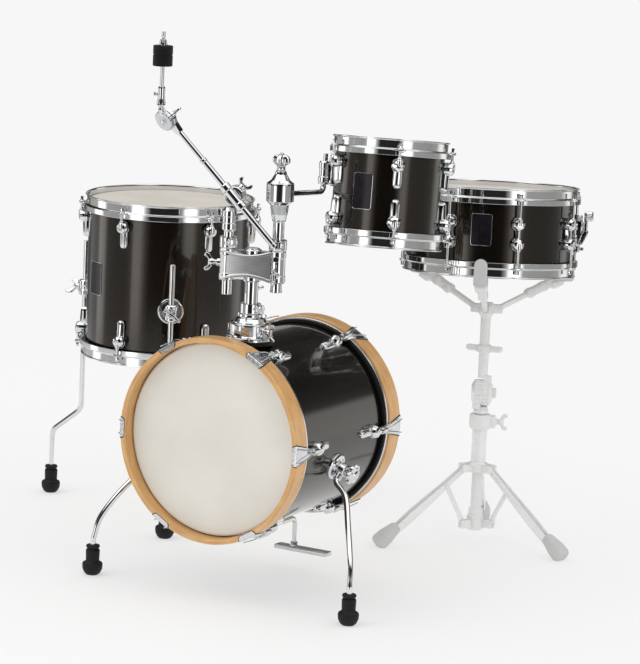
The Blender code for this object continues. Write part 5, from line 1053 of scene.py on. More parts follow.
def add_post():
    """Bell-shaped base with its rubber gasket and screws, and the post with its stop collar."""
    flange_top, body_r, flange_r, body_top = BASE_FLANGE_TOP, BASE_BODY_RADIUS, BASE_FLANGE_RADIUS, BASE_BODY_TOP
    bore = POST_RADIUS + GAP
    base = ring_shape([(bore, BASE_TOP), (BASE_NECK_RADIUS - 0.001, BASE_TOP),
        (BASE_NECK_RADIUS, BASE_DOME_TOP + 0.0015), (BASE_DOME_RADIUS - 0.0025, BASE_DOME_TOP - 0.001),
        (BASE_DOME_RADIUS + 0.0012, body_top + 0.0022), (BASE_DOME_RADIUS + 0.0012, body_top + 0.0004),
        (body_r - 0.001, body_top), (body_r, body_top - 0.003), (body_r - 0.0008, flange_top + 0.003),
        (body_r + 0.001, flange_top + 0.0006), (flange_r - 0.0006, flange_top - 0.0004),
        (flange_r, flange_top - 0.004), (flange_r, -0.004), (bore, -0.004)], 0.0014, 4, 96)
    ribs = []
    for k in range(6):
        rib = block((0.004, 0.011, 0.02), (body_r + 0.0004, 0, (body_top + flange_top) / 2 + 0.0005), 0.0012)
        ribs.append(moved(rib, spin(60 * k + 8)))
        bolt = rod_shape(0.0035, flange_top - 0.004, flange_top + 0.0022, 20)
        ribs.append(moved(bolt, spin(60 * k + 38) @ shift(0.0408)))
    for k in range(3):
        rib = moved(block((0.012, 0.003, 0.008), (0.025, 0, BASE_DOME_TOP + 0.0005), 0.001), spin(120 * k + 24))
        ribs.append(rib)
    out = plan_direction(BASE_SCREW_AZIMUTH)
    screw_place = on_post((body_top + flange_top) / 2) + out * body_r
    boss = moved(rod_shape(0.008, -0.004, 0.005, 32, 0.0012), frame(screw_place, out, (0, 0, 1)))
    screw = moved(wing_screw(0.016), frame(screw_place, out, (0, 0, 1)))
    add("mount_base_cast", joined(moved(joined(base, *ribs), upright(on_post(0))), boss, screw), "chrome", "kit",
        "mount_base")
    gasket = ring_shape([(bore, 0.003), (flange_r + 0.0012, 0.003), (flange_r + 0.0012, -0.0055), (bore, -0.0055)],
        0.001, 2, 72)
    add("mount_base_gasket", moved(gasket, put(on_post(0))), "rubber", "kit", "mount_base")
    post = solid_turned([(POST_RADIUS, POST_TOP), (POST_RADIUS, -POST_BELOW_SHELL)], 0.0012, 56)
    low = BASE_TOP + GAP
    lock = moved(memory_lock(LOCK_RADIUS, POST_RADIUS - 0.0002, low, LOCK_HEIGHT), spin(CLAMP_AZIMUTH - 25))
    add("mount_post_tube", moved(joined(post, lock), put(on_post(0))), "chrome", "post", "mount_post")


def add_clamp():
    """Cast clamp with three sockets, its bright cover plate and wing screws."""
    offset, socket_r, low, top = CLAMP_SOCKET_OFFSET, CLAMP_SOCKET_RADIUS, CLAMP_BOTTOM, CLAMP_TOP
    shapes = []
    for across, outer, inner in ((0, CLAMP_CENTRE_RADIUS - 0.0034, POST_RADIUS), (-offset, socket_r, 0.0095),
            (offset, socket_r, 0.0105)):
        profile = [(inner + 0.0004, top), (outer - 0.0015, top), (outer, top - 0.002), (outer, top - 0.013),
            (outer - 0.001, top - 0.0142), (outer - 0.001, low + 0.0142), (outer, low + 0.013), (outer, low + 0.002),
            (outer - 0.0015, low), (inner + 0.0004, low)]
        shapes.append(moved(ring_shape(profile, 0.0008, 2, 64), upright(in_clamp(across, 0, 0))))
    middle = (low + top) / 2
    for half_gap in (1, -1):
        web = block((2 * offset, 0.008, 0.9 * CLAMP_HEIGHT), (0, 0.0052 * half_gap, 0), 0.0016)
        shapes.append(moved(web, upright(in_clamp(0, 0, middle))))
    height = low + 0.52 * CLAMP_HEIGHT
    left = frame(in_clamp(-offset - socket_r, 0, height), -CLAMP_ACROSS, (0, 0, 1))
    right = frame(in_clamp(offset, socket_r, height - 0.016), CLAMP_OUT, (0, 0, 1))
    for place in (left, right):
        shapes.append(moved(joined(wing_screw(0.016, 0.034, 0.012), rod_shape(0.0072, -0.004, 0.004, 28, 0.0012)),
            place))
    bolt = moved(rod_shape(0.0062, -0.004, 0.0036, 6, 0.0008),
        frame(in_clamp(offset, socket_r - 0.001, height + 0.014), CLAMP_OUT, (0, 0, 1)))
    add("multi_clamp_cast", joined(*shapes, bolt), "chrome", "clamp", "multi_clamp")
    sections = []
    for k in range(COVER_STEPS + 1):
        t = k / COVER_STEPS
        across = COVER_LEFT + COVER_SPAN * t
        waist = math.sin(math.pi * min(max((t - 0.02) / 0.98, 0), 1.0)) ** 0.8
        half = COVER_HALF - COVER_WAIST * waist - (0.0016 if k in (0, COVER_STEPS) else 0)
        bulge = COVER_OUT - COVER_BULGE * ((across - 0.002) / 0.065) ** 2
        ring = [(-0.0035, 0), (0.6 * COVER_LIP, 0), (COVER_LIP, 0.0016), (COVER_LIP, 0.0046), (0.0008, 0.0064)]
        ring = [(across, bulge + rise, inset - half) for rise, inset in ring]
        ring += [(x, y, -z) for x, y, z in reversed(ring)]
        sections.append([in_clamp(x, y, middle + z) for x, y, z in ring])
    add("multi_clamp_cover", lofted(sections), "satin", "clamp", "multi_clamp", smooth=28)


CYMBAL_TUBE_RADIUS, CYMBAL_TUBE_BOTTOM = 0.0095, 0.083
CYMBAL_SLEEVE_RADIUS, CYMBAL_SLEEVE_BOTTOM, CYMBAL_SLEEVE_TOP = 0.0135, 0.204, 0.238
BOOM_HINGE_ACROSS, BOOM_HINGE_HEIGHT, BOOM_FORWARD, BOOM_ANGLE = -0.036, 0.267, 0.026, 132.7
BOOM_RADIUS, BOOM_BELOW_HINGE, BOOM_ABOVE_HINGE = 0.006, 0.1185, 0.186
BOOM_DISC_RADIUS, BOOM_DISC_THICKNESS, BOOM_SLEEVE_RADIUS, BOOM_SLEEVE_LENGTH = 0.0185, 0.01, 0.0098, 0.056
BOOM_THICK_TOP = 0.086
RATCHET_RADIUS, RATCHET_THICKNESS, RATCHET_OFFSET, RATCHET_TURN = 0.02, 0.0085, 0.0056, 139
CYMBAL_NECK, CYMBAL_NECK_RADIUS, CYMBAL_COLLET_RADIUS, CYMBAL_COLLET_LENGTH = 0.007, 0.0038, 0.0068, 0.034
CYMBAL_ROD_RADIUS, CYMBAL_ROD_LENGTH, CYMBAL_FELT_SHARES = 0.0038, 0.0995, (0.55, 0.45)
CYMBAL_FELT_RADIUS, CYMBAL_FELT_LENGTH, CYMBAL_FELT_START = 0.018, 0.038, 0.037


def boom_frame():
    lean = math.radians(BOOM_ANGLE)
    along = CLAMP_ACROSS * math.cos(lean) + up(math.sin(lean))
    return frame(in_clamp(BOOM_HINGE_ACROSS, BOOM_FORWARD, BOOM_HINGE_HEIGHT), along, along.cross(CLAMP_OUT))


def ratchet_face():
    return shift(z=BOOM_ABOVE_HINGE) @ spin(RATCHET_TURN) @ OUTWARD @ shift(z=RATCHET_OFFSET)


def toothed_disc(radius, low, high, sides=96, teeth=24):
    """Disc whose rim shows the edges of its radial teeth on one face."""
    shallow = 0.00055

    def radius_at(reach, height, angle):
        return reach - (shallow if reach > 0.9 * radius and math.cos(teeth * angle) < 0 else 0)
    outline = [(0, high), (radius - 0.0016, high), (radius, high - 0.0016), (radius, low), (0, low)]
    return turned(fillet(outline, 0.0006, 2), sides, radius_at)


def add_cymbal_arm():
    sleeve_r, thick, rod_r, fat, top, bottom, above = (BOOM_SLEEVE_RADIUS, RATCHET_THICKNESS, CYMBAL_ROD_RADIUS,
        CYMBAL_SLEEVE_RADIUS, CYMBAL_SLEEVE_TOP, CYMBAL_SLEEVE_BOTTOM, BOOM_ABOVE_HINGE)
    low = CLAMP_TOP + GAP
    sleeve = solid_turned([(0.009, top + 0.006), (fat - 0.001, top), (fat, top - 0.01), (fat - 0.001, top - 0.011),
        (fat - 0.001, bottom + 0.012), (fat, bottom + 0.011), (fat, bottom), (CYMBAL_TUBE_RADIUS, bottom - 0.004),
        (CYMBAL_TUBE_RADIUS, CYMBAL_TUBE_BOTTOM)], 0.0008, 56)
    lock = memory_lock(ARM_LOCK_RADIUS, CYMBAL_TUBE_RADIUS - 0.0002, low, ARM_LOCK_HEIGHT)
    stem = moved(joined(sleeve, moved(lock, spin(-60))), upright(in_clamp(-CLAMP_SOCKET_OFFSET, 0, 0)))
    hinge = in_clamp(BOOM_HINGE_ACROSS, 0, BOOM_HINGE_HEIGHT)
    facing = frame(hinge, CLAMP_OUT, CLAMP_ACROSS)
    disc = moved(toothed_disc(BOOM_DISC_RADIUS, -BOOM_DISC_THICKNESS, -0.0002), facing)
    back = frame(hinge - CLAMP_OUT * BOOM_DISC_THICKNESS, -CLAMP_OUT, (0, 0, 1))
    wing = moved(wing_screw(0.01), back)
    across = (BOOM_HINGE_ACROSS - CLAMP_SOCKET_OFFSET) / 2
    tall = BOOM_HINGE_HEIGHT - top + 0.002
    neck = moved(block((0.017, 0.0086, tall), (0, 0, 0), 0.0022, 3),
        upright(in_clamp(across, -0.5 * BOOM_DISC_THICKNESS, top + tall / 2 - 0.002)))
    add("cymbal_tube_cast", joined(stem, disc, neck, wing), "chrome", "cymbal_tube", "cymbal_tube")

    place = boom_frame()
    half = BOOM_SLEEVE_LENGTH / 2
    disc = moved(toothed_disc(BOOM_DISC_RADIUS, 0.0004, BOOM_FORWARD - 0.6 * sleeve_r), facing)
    sleeve = moved(ring_shape([(BOOM_RADIUS + 0.0003, half), (sleeve_r - 0.001, half), (sleeve_r, half - 0.002),
        (sleeve_r, half - 0.012), (sleeve_r - 0.0012, half - 0.0135), (sleeve_r - 0.0012, -half + 0.0135),
        (sleeve_r, -half + 0.012), (sleeve_r, -half + 0.002), (sleeve_r - 0.001, -half),
        (BOOM_RADIUS + 0.0003, -half)], 0.0006, 2, 48), place)
    to_rim = spin(38, "Y") @ shift(z=BOOM_DISC_RADIUS - 0.001)
    rim = frame(hinge + CLAMP_OUT * 0.0085, (0, 0, 1), CLAMP_ACROSS) @ to_rim
    clamp_wing = moved(joined(wing_screw(0.006, 0.03, 0.0125, 0.0026), rod_shape(0.0078, -0.004, 0.003, 28, 0.0012)),
        rim)
    ring = moved(tube_shape(0.012, 0.015, BOOM_FORWARD - 0.6 * sleeve_r - 0.001,
        BOOM_FORWARD - 0.6 * sleeve_r + 0.0018, 48), facing)
    add("boom_tilter_cast", joined(disc, sleeve, clamp_wing, ring), "chrome", "boom_tilter", "boom_tilter")

    r, thin = BOOM_RADIUS, 0.005
    rod = solid_turned([(thin, above - 0.01), (thin, BOOM_THICK_TOP + 0.003), (r + 0.0008, BOOM_THICK_TOP + 0.002),
        (r + 0.0008, BOOM_THICK_TOP - 0.003), (r, BOOM_THICK_TOP - 0.004), (r, -BOOM_BELOW_HINGE)], 0.0006, 36)
    cap = rod_shape(0.0064, -BOOM_BELOW_HINGE - 0.0004, -BOOM_BELOW_HINGE + 0.007, 32, 0.0008)
    face = ratchet_face()
    inner = moved(toothed_disc(RATCHET_RADIUS, -thick, -0.0002), face)
    neck = lofted([[(x * w, y * d, z) for x, y in ((-1, -1), (-0.4, -1.25), (0.4, -1.25), (1, -1), (1, 1),
        (0.4, 1.25), (-0.4, 1.25), (-1, 1))] for z, w, d in ((above - 0.034, 0.0058, 0.005),
        (above - 0.022, 0.0084, 0.0046), (above - 0.01, 0.012, 0.004))])
    neck = moved(neck, spin(RATCHET_TURN))
    wing = moved(wing_screw(0.012), face @ shift(z=-thick) @ spin(180, "X"))
    add("boom_rod_turned", moved(joined(rod, cap, inner, neck, wing), place), "chrome", "boom", "boom_rod")

    face = boom_frame() @ ratchet_face()
    pivot = face @ Vector((0, 0, 0))
    outer = toothed_disc(RATCHET_RADIUS, 0.0002, thick)
    ring = ring_shape(raised([(0.009, -0.002), (0.009, 0.001), (0.0062, 0.001), (0.0062, -0.002)], thick), 0.0005, 2,
        48)
    bolt = rod_shape(0.0046, thick - 0.001, thick + 0.0026, 6, 0.0006)
    outward = (face.to_3x3() @ up(1)).normalized()
    rim = (up(1) - outward * outward.z).normalized()
    root = pivot + outward * (0.5 * thick)
    base = root + rim * (RATCHET_RADIUS + 1.1 * CYMBAL_NECK_RADIUS)
    neck = round_bar([root + rim * 0.4 * RATCHET_RADIUS, base, base + up(CYMBAL_NECK + 0.002)],
        CYMBAL_NECK_RADIUS + 0.0012, 24)
    collet_top = CYMBAL_NECK + CYMBAL_COLLET_LENGTH
    rod_top = collet_top + CYMBAL_ROD_LENGTH
    r = CYMBAL_COLLET_RADIUS
    stem = solid_turned([(rod_r, rod_top), (rod_r, rod_top - 0.01), (0.003, rod_top - 0.011),
        (0.003, rod_top - 0.013), (rod_r, rod_top - 0.014), (rod_r, collet_top), (r - 0.0008, collet_top),
        (r, collet_top - 0.003), (r - 0.0006, collet_top - 0.014), (r, collet_top - 0.022),
        (r + 0.0014, CYMBAL_NECK + 0.004), (r + 0.001, CYMBAL_NECK)], 0.0006, 40)
    side = moved(joined(rod_shape(0.0034, 0, 0.011, 20), block((0.0054, 0.0054, 0.006), (0, 0, 0.012), 0.0008)),
        frame((0, 0, CYMBAL_NECK + 0.02), -CLAMP_ACROSS, (0, 0, 1)))
    add("cymbal_tilter_disc", moved(joined(outer, ring), face), "satin", "cymbal_tilter", "cymbal_tilter")
    add("cymbal_tilter_cast", joined(moved(bolt, face), neck, moved(joined(stem, side), put(base))), "chrome",
        "cymbal_tilter", "cymbal_tilter")
    rise = put(base + up(collet_top))
    felts = []
    low = CYMBAL_FELT_START
    for share in CYMBAL_FELT_SHARES:
        high = low + share * CYMBAL_FELT_LENGTH
        felts.append(ring_shape([(rod_r + GAP, high - 0.0004), (CYMBAL_FELT_RADIUS, high - 0.0004),
            (CYMBAL_FELT_RADIUS, low + 0.0004), (rod_r + GAP, low + 0.0004)], 0.0014, 3, 64))
        low = high
    add("cymbal_felts_pressed", moved(joined(*felts), rise), "felt", "cymbal_tilter", "cymbal_felts")
    low = CYMBAL_FELT_START + CYMBAL_FELT_LENGTH + GAP
    hub = ring_shape(raised([(rod_r + GAP, 0.01), (0.0058, 0.01), (0.0072, 0.003), (0.008, 0), (rod_r + GAP, 0)],
        low), 0.0008, 3, 36)
    half = 0.0155
    wings = wing_pair([(0.005, 0.001), (half - 0.005, 0.0015), (half, 0.006), (half, 0.015), (half - 0.003, 0.0165),
        (half - 0.007, 0.015), (0.0058, 0.008)], 0.0017, 0.0009)
    wings = moved(wings, shift(z=low) @ STANDING)
    add("cymbal_wing_nut_cast", moved(joined(hub, wings), rise @ spin(-60)), "chrome", "cymbal_nut",
        "cymbal_wing_nut")


ARM_TUBE_RADIUS, ARM_TUBE_BOTTOM, ARM_NECK_BOTTOM = 0.0105, 0.092, 0.227
ARM_HOUSING_BOTTOM, ARM_HOUSING_TOP, ARM_HOUSING_RADIUS = 0.26, 0.296, 0.0255
ARM_CONE_TOP, ARM_STUD_RADIUS, ARM_NUT_BOTTOM, ARM_NUT_TOP, ARM_BALL_HEIGHT = 0.316, 0.0035, 0.319, 0.346, 0.2735
L_ROD_RADIUS, L_ROD_BALL_RADIUS, L_ROD_BEND = 0.0052, 0.0115, 0.013
BRACKET_AZIMUTH, BRACKET_OFFSET, BRACKET_ABOVE_MIDDLE, BRACKET_HEIGHT = -70, 0.02, 0.028, 0.048
BRACKET_RADIUS, L_ROD_ABOVE_BRACKET, L_ROD_CORNER = 0.011, 0.012, 0.036


def l_rod_place(along):
    return TOM.at(BRACKET_AZIMUTH, along) @ Vector((0, BRACKET_OFFSET, 0))


def add_tom_arm():
    grip, nut_low, nut_top, house_r, house_low, house_top, tube_r, bottom, neck, cone = (BRACKET_RADIUS,
        ARM_NUT_BOTTOM, ARM_NUT_TOP, ARM_HOUSING_RADIUS, ARM_HOUSING_BOTTOM, ARM_HOUSING_TOP, ARM_TUBE_RADIUS,
        ARM_TUBE_BOTTOM, ARM_NECK_BOTTOM, ARM_CONE_TOP)
    socket = upright(in_clamp(CLAMP_SOCKET_OFFSET, 0, 0))
    low = CLAMP_TOP + GAP
    centre = in_clamp(CLAMP_SOCKET_OFFSET, 0, ARM_BALL_HEIGHT)
    corner = l_rod_place(BRACKET_ABOVE_MIDDLE - L_ROD_CORNER)
    run = (corner - centre).normalized()
    toward = math.atan2(run.dot(Vector((-CLAMP_OUT.x, -CLAMP_OUT.y, 0))), run.dot(CLAMP_ACROSS))

    def mouth(reach, height, angle):
        off = (angle - toward + math.pi) % (2 * math.pi) - math.pi
        away = math.hypot(off * 0.0255 / 0.0085, (height - ARM_BALL_HEIGHT) / 0.012)
        return reach if away > 1.0 or reach < 0.02 else 0.0152 + (reach - 0.0152) * away ** 6
    heights = [(house_r, house_low + 0.002 + k * (house_top - house_low - 0.006) / 16) for k in range(16, -1, -1)]
    body = turned(fillet([(0, cone + 0.002), (0.0075, cone + 0.002), (0.01, cone), (0.0112, cone - 0.005),
        (0.0175, house_top + 0.004), (0.022, house_top + 0.0005), (house_r - 0.001, house_top - 0.0008)] + heights
        + [(house_r - 0.003, house_low - 0.001), (0.0175, house_low - 0.005), (0.015, neck + 0.01), (0.0128, neck),
        (0.0128, neck - 0.003), (tube_r, neck - 0.0036), (tube_r, bottom), (0, bottom)], 0.0009, 2), 96, mouth)
    stud = rod_shape(ARM_STUD_RADIUS, cone - 0.002, nut_top + 0.004, 24)
    lock = moved(memory_lock(ARM_LOCK_RADIUS, tube_r - 0.0002, low, ARM_LOCK_HEIGHT), spin(-80))
    foot = solid_turned([(tube_r + 0.0006, bottom + 0.004), (tube_r + 0.0006, bottom)], 0.0006, 36)
    add("tom_arm_tube_cast", moved(joined(body, stud, lock, foot), socket), "chrome", "tom_arm", "tom_arm_tube")

    def wing_radius(reach, height, angle):
        if height < nut_low + 0.0085:
            return reach
        share = 0.5 + 0.5 * math.cos(4 * angle)
        return reach * (1.0 - 0.42 * share ** 1.5)
    nut = turned(fillet([(0, nut_top + 0.001), (0.009, nut_top + 0.0005), (0.014, nut_top - 0.002),
        (0.017, nut_top - 0.0065), (0.0172, nut_low + 0.014), (0.012, nut_low + 0.0095), (0.0078, nut_low + 0.0065),
        (0.0074, nut_low + 0.0015), (0.0086, nut_low), (0, nut_low)], 0.002, 4), 96, wing_radius)
    add("tom_arm_wing_nut_cast", moved(nut, socket @ spin(30)), "chrome", "arm_nut", "tom_arm_wing_nut", smooth=50)

    top = l_rod_place(BRACKET_ABOVE_MIDDLE + BRACKET_HEIGHT / 2 + L_ROD_ABOVE_BRACKET)
    rod = round_bar([centre] + rounded_corner(centre, corner, top, L_ROD_BEND) + [top], L_ROD_RADIUS, 28)
    collar_at = centre + run * (house_r + 0.006)
    collar = moved(solid_turned([(0.0076, 0.0025), (0.0076, -0.0025)], 0.0006, 32), frame(collar_at, run, (0, 0, 1)))
    add("tom_l_rod_bent", joined(moved(ball(L_ROD_BALL_RADIUS), put(centre)), rod, collar), "chrome", "tom_tilt",
        "tom_l_rod")

    half = BRACKET_HEIGHT / 2
    place = TOM.at(BRACKET_AZIMUTH, BRACKET_ABOVE_MIDDLE)
    back = plate(fillet([(-0.019, -half), (0.019, -half), (0.019, half), (-0.019, half)], 0.006, 4, ring=True),
        -0.001, 0.005, 0.0012)
    back = moved(back, OUTWARD)
    web = block((0.013, BRACKET_OFFSET, 0.8 * BRACKET_HEIGHT), (0, BRACKET_OFFSET / 2, 0), 0.002)
    boss = moved(ring_shape([(L_ROD_RADIUS + GAP, 0.9 * half), (grip - 0.0015, 0.9 * half),
        (grip, 0.9 * half - 0.003), (grip, 0.35 * half), (grip - 0.0012, 0.3 * half), (grip - 0.0012, -0.3 * half),
        (grip, -0.35 * half), (grip, -0.9 * half + 0.003), (grip - 0.0015, -0.9 * half),
        (L_ROD_RADIUS + GAP, -0.9 * half)], 0.0007, 2, 56), shift(y=BRACKET_OFFSET))
    screw_place = shift(-grip + 0.001, BRACKET_OFFSET) @ spin(-90, "Y")
    screw = moved(joined(wing_screw(0.013, 0.039, 0.015, 0.0034), rod_shape(0.009, -0.003, 0.006, 32, 0.0014)),
        screw_place)
    bolts = [moved(rod_shape(0.0042, 0, 0.007, 6, 0.0006), shift(s * 0.0125, 0, z) @ OUTWARD) for s in (1, -1)
        for z in (0.017, -0.017)]
    add("tom_bracket_cast", moved(joined(back, web, boss, screw, *bolts), place), "chrome", "tom", "tom_bracket")


# Floor tom legs


LEG_AZIMUTHS = 36, 156, 276
LEG_ROD_RADIUS, LEG_ROD_OFFSET, LEG_ROD_TOP = 0.0054, 0.026, 0.542
LEG_BEND_TOP, LEG_BEND_BOTTOM, LEG_BEND_RADIUS, LEG_FOOT_RADIUS = 0.186, 0.133, 0.028, 0.258
LEG_BRACKET_HEIGHT, LEG_DISH_RADIUS, LEG_DISH_THICKNESS = 0.444, 0.027, 0.008
LEG_BLOCK_SIZE = Vector((0.026, 0.024, 0.034))


def add_floor_tom_legs():
    offset, deep = LEG_ROD_OFFSET, LEG_DISH_THICKNESS
    brackets, recesses = [], []
    for number, azimuth in enumerate(LEG_AZIMUTHS, 1):
        place = FLOOR_TOM.at(azimuth, LEG_BRACKET_HEIGHT - FLOOR_TOM_MIDDLE.z)
        out = OUTWARD
        rim = LEG_DISH_RADIUS
        dish = ring_shape([(rim - 0.0065, deep - 0.003), (rim - 0.005, deep + 0.001), (rim - 0.0016, deep),
            (rim, 0.0045), (rim, -0.003), (rim - 0.0065, -0.003)], 0.0014, 3, 72)
        # Recessed cup in darkened chrome: painted shade inside the bracket's dish
        cup = solid_turned([(0.01, 0.013), (0.0125, 0.0095), (0.0135, 0.0048), (0.019, 0.0034), (rim - 0.006, 0.0044),
            (rim - 0.006, -0.0025)], 0.0012, 72)
        recesses.append(moved(cup, place @ out))
        clamp = ring_shape([(LEG_ROD_RADIUS + GAP, 0.0165), (0.0105, 0.0165), (0.0125, 0.014), (0.0125, 0.005),
            (0.0112, 0.0035), (0.0112, -0.0035), (0.0125, -0.005), (0.0125, -0.014), (0.0105, -0.0165),
            (LEG_ROD_RADIUS + GAP, -0.0165)], 0.0009, 3, 56)
        face = offset + 0.5 * LEG_BLOCK_SIZE.y
        cheek = block((0.017, 0.014, 0.023), (0, offset + 0.006, 0), 0.0032, 3)
        neck = moved(ball(0.0118), shift(y=0.015))
        screw = moved(joined(wing_screw(0.01, 0.042, 0.017, 0.003), rod_shape(0.008, -0.004, 0.005, 32, 0.0012)),
            shift(y=face) @ out @ spin(35))
        brackets.append(moved(joined(moved(dish, out), moved(clamp, shift(y=offset)), cheek, neck, screw), place))
        toward = plan_direction(azimuth)
        axis = Vector((FLOOR_TOM_MIDDLE.x, FLOOR_TOM_MIDDLE.y, 0))
        inner, outer = axis + toward * (FLOOR_TOM_RADIUS + offset), axis + toward * LEG_FOOT_RADIUS
        top, knee = inner + up(LEG_ROD_TOP), inner + up(LEG_BEND_TOP)
        ankle, end = outer + up(LEG_BEND_BOTTOM), outer + up(FOOT_HEIGHT - FOOT_SOCKET)
        route = [top] + rounded_corner(top, knee, ankle, LEG_BEND_RADIUS) + rounded_corner(knee, ankle, end,
            LEG_BEND_RADIUS) + [end]
        node = f"floor_tom_leg_{number}"
        add(node + "_rod", round_bar(route, LEG_ROD_RADIUS, 24), "chrome", "floor_tom_legs", node)
        add(node + "_foot", moved(rubber_foot(), put(outer)), "rubber", "floor_tom_legs", node)
    add("floor_tom_leg_brackets", joined(*brackets), "chrome", "floor_tom", "floor_tom_shell")
    # The cups get the darkened chrome: painted shade in the recesses
    add("floor_tom_leg_recesses", joined(*recesses), "recess_shade_chrome", "floor_tom", "floor_tom_shell")


# Snare drum


STRAINER_AZIMUTH, STRAINER_SIZE = 112, Vector((0.03, 0.0215, 0.046))
LEVER_LENGTH, LEVER_WIDTH, LEVER_THICKNESS, LEVER_PIVOT = 0.062, 0.015, 0.007, 0.0143
SNARE_LUG_END, SNARE_LUG_LENGTH, SNARE_LUG_SPACING = 0.029, 0.058, 0.0394
WIRE_SPAN, WIRE_BED, WIRE_PLATE_LENGTH = 0.27, 0.042, 0.014
WIRES, WIRE_TURNS, WIRE_STEPS, WIRE_COIL, WIRE_RADIUS = 20, 45, 180, 0.0006, 0.00028


def add_snare():
    wide, long = LEVER_WIDTH, LEVER_LENGTH
    add_small_drum(SNARE, SNARE_LUG_END)
    lugs = joined(*[moved(long_lug(SNARE_LUG_LENGTH, SNARE_LUG_SPACING), SNARE.at(azimuth))
        for azimuth in SNARE.lug_azimuths])
    add("snare_lugs", lugs, "chrome", "snare", "snare_shell")
    add_badge(SNARE)
    size = STRAINER_SIZE
    place = SNARE.at(STRAINER_AZIMUTH)
    base = block((size.x, 0.005, size.z + 0.008), (0, 0.002, 0), 0.0016)
    body = block((size.x - 0.006, size.y - 0.001, size.z), (0, size.y / 2 - 0.0015, 0), 0.0032, 3)
    knob = fluted([(0.0066, size.z / 2 + 0.013), (0.0082, size.z / 2 + 0.0115), (0.0082, size.z / 2 + 0.003),
        (0.005, size.z / 2 + 0.001), (0.005, size.z / 2 - 0.004)], 72, 18, 0.0006, size.z / 2 + 0.0032,
        size.z / 2 + 0.0112, 0.0005)
    knob = moved(knob, shift(y=size.y / 2 - 0.002))
    strap = block((0.018, 0.0022, 0.03), (0, 0.005, -size.z / 2 - 0.01), 0.0008)
    cheeks = [block((0.0036, size.y - 0.004, size.z + 0.004), (side * (size.x / 2 - 0.0016), size.y / 2 - 0.003, 0),
        0.0012) for side in (1, -1)]
    ribs = [block((size.x - 0.005, 0.003, 0.003), (0, size.y - 0.0022, z), 0.001)
        for z in (-0.006, 0.001, 0.008, 0.015)]
    holder = block((0.025, 0.012, 0.014), (0, 0.007, -size.z / 2 - 0.0085), 0.002, 3)
    screws = []
    for x in (-0.0072, 0.0072):
        screw = joined(rod_shape(0.004, 0, 0.004, 20), block((0.0056, 0.0056, 0.007), (0, 0, 0.006), 0.0008))
        screws.append(moved(screw, shift(x, 0.012, -size.z / 2 - 0.0085) @ OUTWARD))
    add("snare_strainer", moved(joined(base, body, knob, strap, holder, *cheeks, *ribs, *screws), place), "chrome",
        "snare", "snare_shell")
    opposite = SNARE.at(STRAINER_AZIMUTH + 180)
    butt = block((size.x, 0.009, 0.7 * size.z), (0, 0.0035, 0), 0.0028, 3)
    cheek = block((size.x - 0.01, 0.004, 0.5 * size.z), (0, 0.009, -0.002), 0.0014)
    strap = block((0.018, 0.0022, 0.03), (0, 0.004, -0.35 * size.z - 0.01), 0.0008)
    add("snare_butt_plate", moved(joined(butt, cheek, strap), opposite), "chrome", "snare", "snare_shell")
    face = size.y - 0.002 + GAP
    low = -size.z / 2 + 0.004
    outline = fillet([(-wide / 2, 0.012), (wide / 2, 0.012), (wide / 2 - 0.002, 0.034), (wide / 2, long),
        (-wide / 2, long), (-wide / 2 + 0.002, 0.034)], 0.004, 4, ring=True)
    lever = moved(plate(outline, 0, LEVER_THICKNESS, 0.0016, 3),
        shift(0, face + 0.0006, low) @ Matrix(((1, 0, 0, 0), (0, 0, 1, 0), (0, 1, 0, 0), (0, 0, 0, 1))))
    grip = fluted([(0.008, 0.015), (0.01, 0.0128), (0.01, 0.002), (0.007, 0)], 72, 12, 0.001, 0.0024, 0.0124, 0.0006)
    grip = moved(grip, shift(0, face + 0.003, low + long - 0.009) @ OUTWARD)
    bar = block((0.0384, 0.006, 0.01), (0, face + 0.004, low + 0.02), 0.0018, 3)
    on_side = Matrix(((0, 0, 1, 0), (1, 0, 0, 0), (0, 1, 0, 0), (0, 0, 0, 1)))
    yoke = [moved(plate(bar_outline((LEVER_PIVOT, low), (face + 0.004, low + 0.02), 0.005), side * 0.0178 - 0.0014,
        side * 0.0178 + 0.0014, 0.0008), on_side) for side in (1, -1)]
    yoke += [moved(rod_shape(0.0034, side * 0.0178 - 0.0024, side * 0.0178 + 0.0024, 24),
        shift(0, LEVER_PIVOT, low) @ spin(90, "Y")) for side in (1, -1)]
    add("snare_lever_cast", moved(joined(lever, grip, bar, *yoke), place), "chrome", "snare_lever", "snare_lever")
    top = -(SNARE.half + GAP + FILM_THICKNESS + GAP)
    wires = []
    reach = WIRE_SPAN / 2
    for k in range(WIRES):
        across = WIRE_BED / WIRES * (k + 0.5) - WIRE_BED / 2
        route = []
        for i in range(WIRE_STEPS + 1):
            t = i / WIRE_STEPS
            turn = 2 * math.pi * WIRE_TURNS * t
            route.append((reach * (2 * t - 1) * 0.955, across + WIRE_COIL * math.cos(turn),
                top - 0.0009 + WIRE_COIL * math.sin(turn)))
        wires.append(round_bar(route, WIRE_RADIUS, 5, 0.0001))
    plates = [block((WIRE_PLATE_LENGTH, WIRE_BED, 0.0014), (side * (reach - WIRE_PLATE_LENGTH / 2), 0, top - 0.001),
        0.0004) for side in (1, -1)]
    turn = spin(STRAINER_AZIMUTH - 90)
    add("snare_wires_coiled", moved(joined(*wires), SNARE.place @ turn), "steel_wire", "snare", "snare_wires")
    add("snare_wires_plates", moved(joined(*plates), SNARE.place @ turn), "steel_wire", "snare", "snare_wires")


# Snare stand


